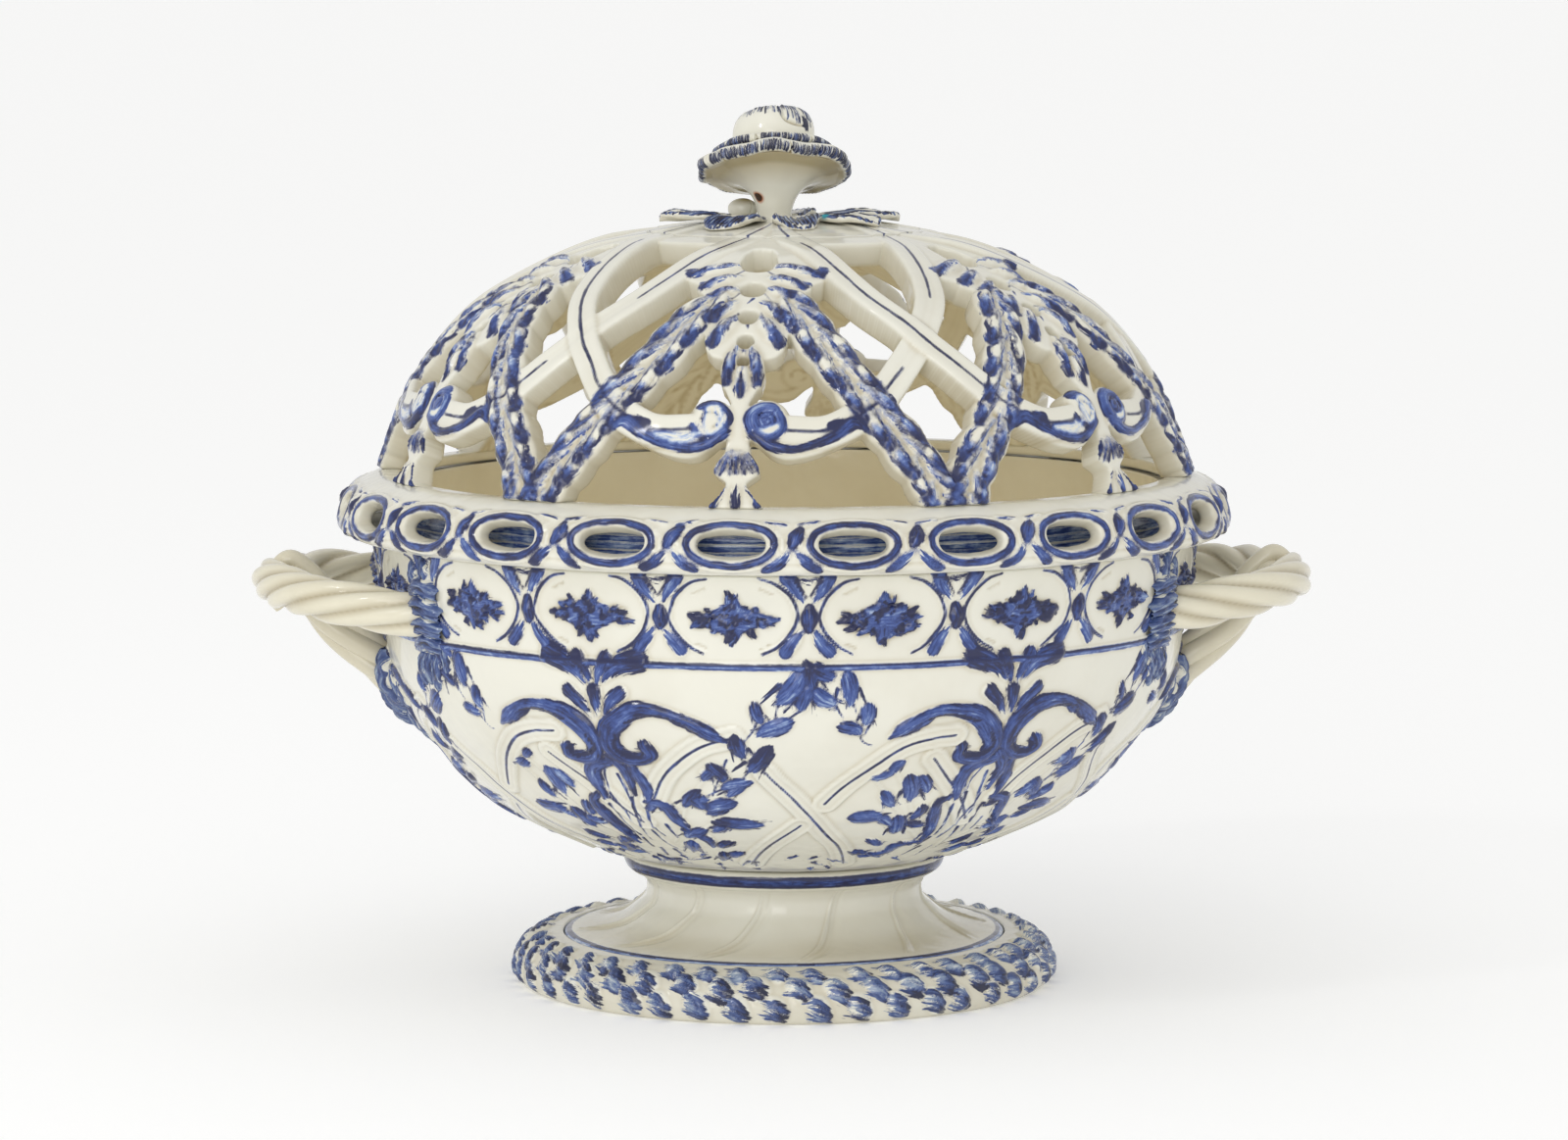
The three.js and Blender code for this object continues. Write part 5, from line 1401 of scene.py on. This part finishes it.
# Flower: two tiers of petals with their lips turned up, and a heart of petals folded over each other.
# A full brush drawn over each lip, stroke beside stroke, gives its band of blue with white glints.
brim_face = smooth_line([
    [17, 0.1], [20.2, 0.12], [21.8, 0.3], [22.8, 1], [23.1, 2.2], [22.7, 3.3], [21.5, 4], [19.6, 4.2],
    [15, 4.3], [11, 4.3],
], 8)
tier_face = smooth_line([
    [15, 0.05], [17, 0.1], [17.9, 0.5], [18.25, 1.3], [18, 2.2], [17, 2.8], [15, 3], [11, 3.1],
    [7, 3.1],
], 8)
heart_face = smooth_line([
    [10.4, 0], [11.1, 0.5], [11.6, 2.2], [11.7, 4.4], [11.4, 6.6], [10.6, 8.6], [9.2, 10.2], [7.2, 11],
    [5, 10.8], [3.2, 9.8], [1.6, 9.2], [0.4, 9],
], 8)
tiers = [
    {"name": "flower_brim", "face": brim_face, "inner": [[4.0, 4.2], [4.0, 0.3], [12.0, 0.1]], "seat": 0.0,
     "petals": 6, "phase": 0.4, "band": 7.0, "cracks": [10, 34, -47, 96, 161, -122], "bare": [[-66, -58]]},
    {"name": "flower_middle_petals", "face": tier_face, "inner": [[3.0, 3.0], [3.0, 0.3], [10.0, 0.05]],
     "seat": 4.8, "petals": 5, "phase": 1.7, "band": 4.4, "cracks": [-20, 35, 82, 140, -95, -150],
     "bare": [[-27, -15], [32, 38]]},
]


def flower_piece(name, wall, inner, grid, seat, bare_shade):
    turned_piece(name, wall, inner, smoky_glaze, "cover", bare_shade, grid,
                 lambda points: on_stem(points, seat))


for tier in tiers:
    petals = ClayWall(tier["face"], 900, 0.25)
    lip = tier["band"]
    for angle in np.arange(0, 360, 1.55):
        signed = (angle + 180) % 360 - 180
        if any(low < signed < high for low, high in tier["bare"]) or wander.uniform() < 0.06:
            continue
        path = [[angle, lip - 2.2 + wander.normal(0, 0.35)], [angle + 0.5, lip], [angle + 0.4, lip + 1.0]]
        load = wander.uniform(0.5, 1.05)
        petals.stroke(path, [0.9, 1.1, 0.7], load, 0.4, wander.uniform(0.0, 1.0), 0.0, 0.12)
    for n in range(120):
        angle = n * 3 + wander.normal(0, 0.5)
        petals.press([[angle, lip - 2.8], [angle, lip + 1.6]], [0.8, 0.5], -0.3, 0.4)
    for crack in tier["cracks"]:
        petals.press(placed([[0, -3.4], [0.8, -1.4], [-0.5, 1.6]], crack, 1, lip), [1.0, 1.3, 0.7], -1.1, 0.5)
    # Painted shade: khaki on the underside of the tier, below its lip; the bare inner rows get more of it
    petals.pool += 0.8 * np.clip((lip - 2.6 - petals.arcs) / 1.2, 0, 1)[:, None]
    turn = np.radians(petals.angles)[None, :]
    reach = np.clip((petals.line[:, :1] - 12.0) / 10.0, 0, 1) ** 2
    ripple = 0.3 * np.cos(11 * turn + 2) + 0.16 * np.cos(23 * turn)
    wave = 0.5 * np.cos(tier["petals"] * turn + tier["phase"]) + ripple
    droop = 0.25 * np.cos(9 * turn) - 0.7 * np.cos(turn + 1.3) ** 4
    grid = wall_points(petals)
    grid[..., :2] *= (1 + reach * (wave - 0.6) / 26)[..., None]
    grid[..., 2] += reach * (0.3 * np.cos(tier["petals"] * turn + 2 * tier["phase"]) + droop)
    flower_piece(tier["name"], petals, tier["inner"], grid, tier["seat"], 0.5)

heart = ClayWall(heart_face, 600, 0.3)
fold = [[6, 13.2], [8, 11], [9.5, 8], [16, 5.6], [34, 4.4], [52, 4.6]]
for shift, depth in ((0, -1.5), (2.4, -0.4)):
    heart.press(placed(fold, shift), [2.0, 2.2, 2.0, 1.8, 1.4, 0.8], depth, 1.2)
for folded in ([[188, 13.0], [192, 8.0], [205, 4.6], [228, 4.0]], [[-100, 13], [-108, 8], [-122, 4]],
               [[100, 12.6], [108, 8], [118, 4.4]]):
    heart.press(folded, [2.0, 1.8, 1.0], -1.0, 1.1)
for n in range(150):
    angle = n * 2.4 + wander.normal(0, 0.5)
    signed = (angle + 180) % 360 - 180
    long = 6.6 if 10 < signed < 75 else 3.4
    end = 11.6 - long * wander.uniform(0.55, 1.0)
    heart.press([[angle, 15.0], [angle, 12.0], [angle, end - 0.6]], [0.9, 0.8, 0.4], -0.4, 0.5)
    if wander.uniform() < 0.75:
        path = [[angle, 14.4], [angle + wander.normal(0, 0.5), end]]
        load = wander.uniform(0.5, 0.95)
        heart.stroke(path, [1.0, 1.0, 0.5], load, 0.4, wander.uniform(0.2, 0.9), 0.2, 0.12)
heart.stroke([[45, 7.0], [47, 5.8], [50, 5.2]], [1.2, 2.6, 2.8], 1.0, 0.5, 1.2, 0.0)
grid = wall_points(heart)
turn = np.radians(heart.angles)[None, :]
grid[..., :2] *= (1 + 0.035 * np.cos(2 * (turn - 1.2)) - 0.01)[..., None]
grid[..., 2] += 0.5 * np.cos(turn - 0.9) * np.clip(grid[..., 2] / 11, 0, 1)
# The heart's bare underside carries a little painted shade
flower_piece("flower_heart", heart, [[0.4, 0.1], [6.0, 0.0]], grid, 7.9, 0.3)


# Calyx: six leaves of rolled clay laid round the stem and pressed down while soft, their tips lifted or
# turned under. Each has a blue edge and a patch of dark strokes where the brush was wiped at its tip.
crown_bed = whole_dome.line[::-1]
calyx_start = 8.9
calyx_long = 90
calyx_wide = 45
count = calyx_long * calyx_wide
share = np.linspace(0, 1, calyx_long)[:, None]
across = np.linspace(-1, 1, calyx_wide)[None, :]
cells = np.arange(count).reshape(calyx_long, calyx_wide)
rim = np.concatenate([cells[0], cells[1:, -1], cells[-1, -2::-1], cells[-2:0:-1, 0]])
following = np.roll(rim, -1)
upper_faces = grid_faces(calyx_long, calyx_wide)
skirt = np.column_stack([rim, rim + count, following + count, following])
calyx_faces = np.concatenate([upper_faces, upper_faces[:, ::-1] + count, skirt])
for word, angle, reach, slimness, rise, fold, first, last in (
    ("left", -82, 34.8, 0.43, 3.3, 0.0, 0.3, 0.72),
    ("front_left", -38, 32.8, 0.44, 2.6, 1.0, 0.5, 0.96),
    ("front", 10, 31.4, 0.42, 3.0, 1.0, 0.55, 0.9),
    ("right", 56, 33.7, 0.46, 2.4, 0.3, 0.3, 0.5),
    ("back_right", 104, 36.8, 0.38, 3.5, 0.2, 0.2, 0.6),
    ("back", 168, 31.9, 0.47, 2.6, 0.3, 0.6, 0.95),
):
    length = reach - calyx_start
    distance = calyx_start + share * length
    outline = np.interp(share, [0, 0.2, 0.42, 0.62, 0.82, 0.94, 1], [0.34, 0.66, 0.94, 1, 0.8, 0.5, 0.16])
    half = slimness * reach / 2 * outline
    half = half * (1 + 0.06 * np.sin(share * 17 + angle))
    aside = half * across
    radius = np.hypot(distance, aside)
    bed = np.interp(radius, crown_bed[:, 0], crown_bed[:, 1]) + 0.3
    ripple = 0.35 * np.sin(share * 13 + across * 2.4 + angle) * share
    fall = fold * rise * 1.3 * np.clip((share - 0.55) / 0.45, 0, 1) ** 1.3
    lift = np.maximum(rise * share ** 1.6 + ripple - fall, 0)
    rim_lift = 1.5 * abs(across) ** 3 * np.clip(share * 2, 0, 1) * np.clip((1 - share) * 5, 0.35, 1)
    rib = 0.6 * np.exp(-(across / 0.12) ** 2) * (1 - share ** 2)
    veins = 0.2 * np.cos(aside * 4.2 + share * 9) * np.clip(share * 2, 0, 1)
    body = 1.2 * np.clip(1 - abs(across) ** 6, 0, 1) ** 0.5 * np.clip((1 - share) * 14, 0, 1) ** 0.5
    under = bed + np.where(abs(across) > 0.5, 0.35 * lift * (abs(across) - 0.5) / 0.5, 0) + 0.6 * lift
    top = np.maximum(bed + lift + rim_lift + body - rib + veins, under + 0.3)
    turn = math.radians(angle) + np.arctan2(aside, distance)
    points = np.stack([round_axis(radius, turn, top), round_axis(radius, turn, under)])
    points[..., 0] += head_drift * 0.6
    patch = np.minimum(share - first, last - share) * length + 0.9 * np.cos(aside * 3.1 + angle)
    edge_line = 1.0 - abs(half - abs(aside) - 0.5)
    paint = np.maximum(np.where(half - abs(aside) > 0.6, patch, -3.0), edge_line)
    paint = np.where(share < 0.12, -3.0, paint)
    wiped = 0.5 + 0.5 * np.cos(aside * 5.2 + 1.3 * np.sin(share * 11))
    seed = np.full_like(aside, wander.uniform(0, 40))
    brush = np.stack([aside, share * length + 0 * aside, seed], axis=-1)
    tone = np.stack([0.35 + 0.55 * wiped, np.full_like(aside, 0.85), 0.2 + 0.8 * wiped], axis=-1)
    # Khaki along the sunk rib stands for gathered glaze and painted shade; the leaf's underside carries
    # painted shade
    marks = {
        "paint": np.stack([paint, np.full_like(paint, -3.0)]),
        "brush": np.stack([brush, brush]),
        "tone": np.stack([tone, tone]),
        "pool": np.stack([0.4 * rib, np.full_like(rib, 0.3)]),
    }
    if word == "right":
        marks["fleck"] = -fleck_at(points, points[0, 40, 3], 1.6)
    name = f"calyx_leaf_{word}"
    fired_piece(name, points, calyx_faces, smoky_glaze, "cover", marks)


# Bud: a ball of clay closed to a blunt point, laid behind the stem, with three seams where petals meet
bud_turn = math.radians(-138)
bud_place = [17 * math.sin(bud_turn), -17 * math.cos(bud_turn), finial_foot]
bud_face = smooth_line([
    [0.6, 0.05], [2.4, 0.1], [3.9, 0.9], [4.3, 2.2], [4.1, 3.5], [3.1, 4.6], [1.6, 5.3], [0.3, 5.5],
], 8)
bud = ClayWall(bud_face, 160, 0.15)
for seam in (20, 140, 260):
    bud.press(placed([[0, 2.0], [14, 5.0], [30, 9.4]], seam), [0.6, 0.8, 0.5], -0.35, 0.4)
# Painted shade: khaki on the upper part of the bud, on one side only
shaded_side = np.clip(np.cos(np.radians(bud.angles - 30)), 0, 1)
bud.pool += 0.8 * np.clip((bud.arcs - 6.4) / 2, 0, 1)[:, None] * shaded_side
faces = ring_faces(len(bud.arcs), 160, True)
points = wall_points(bud) + bud_place
fired_piece("calyx_bud", points, faces, cobalt_glaze, "cover", wall_marks(bud, 0))
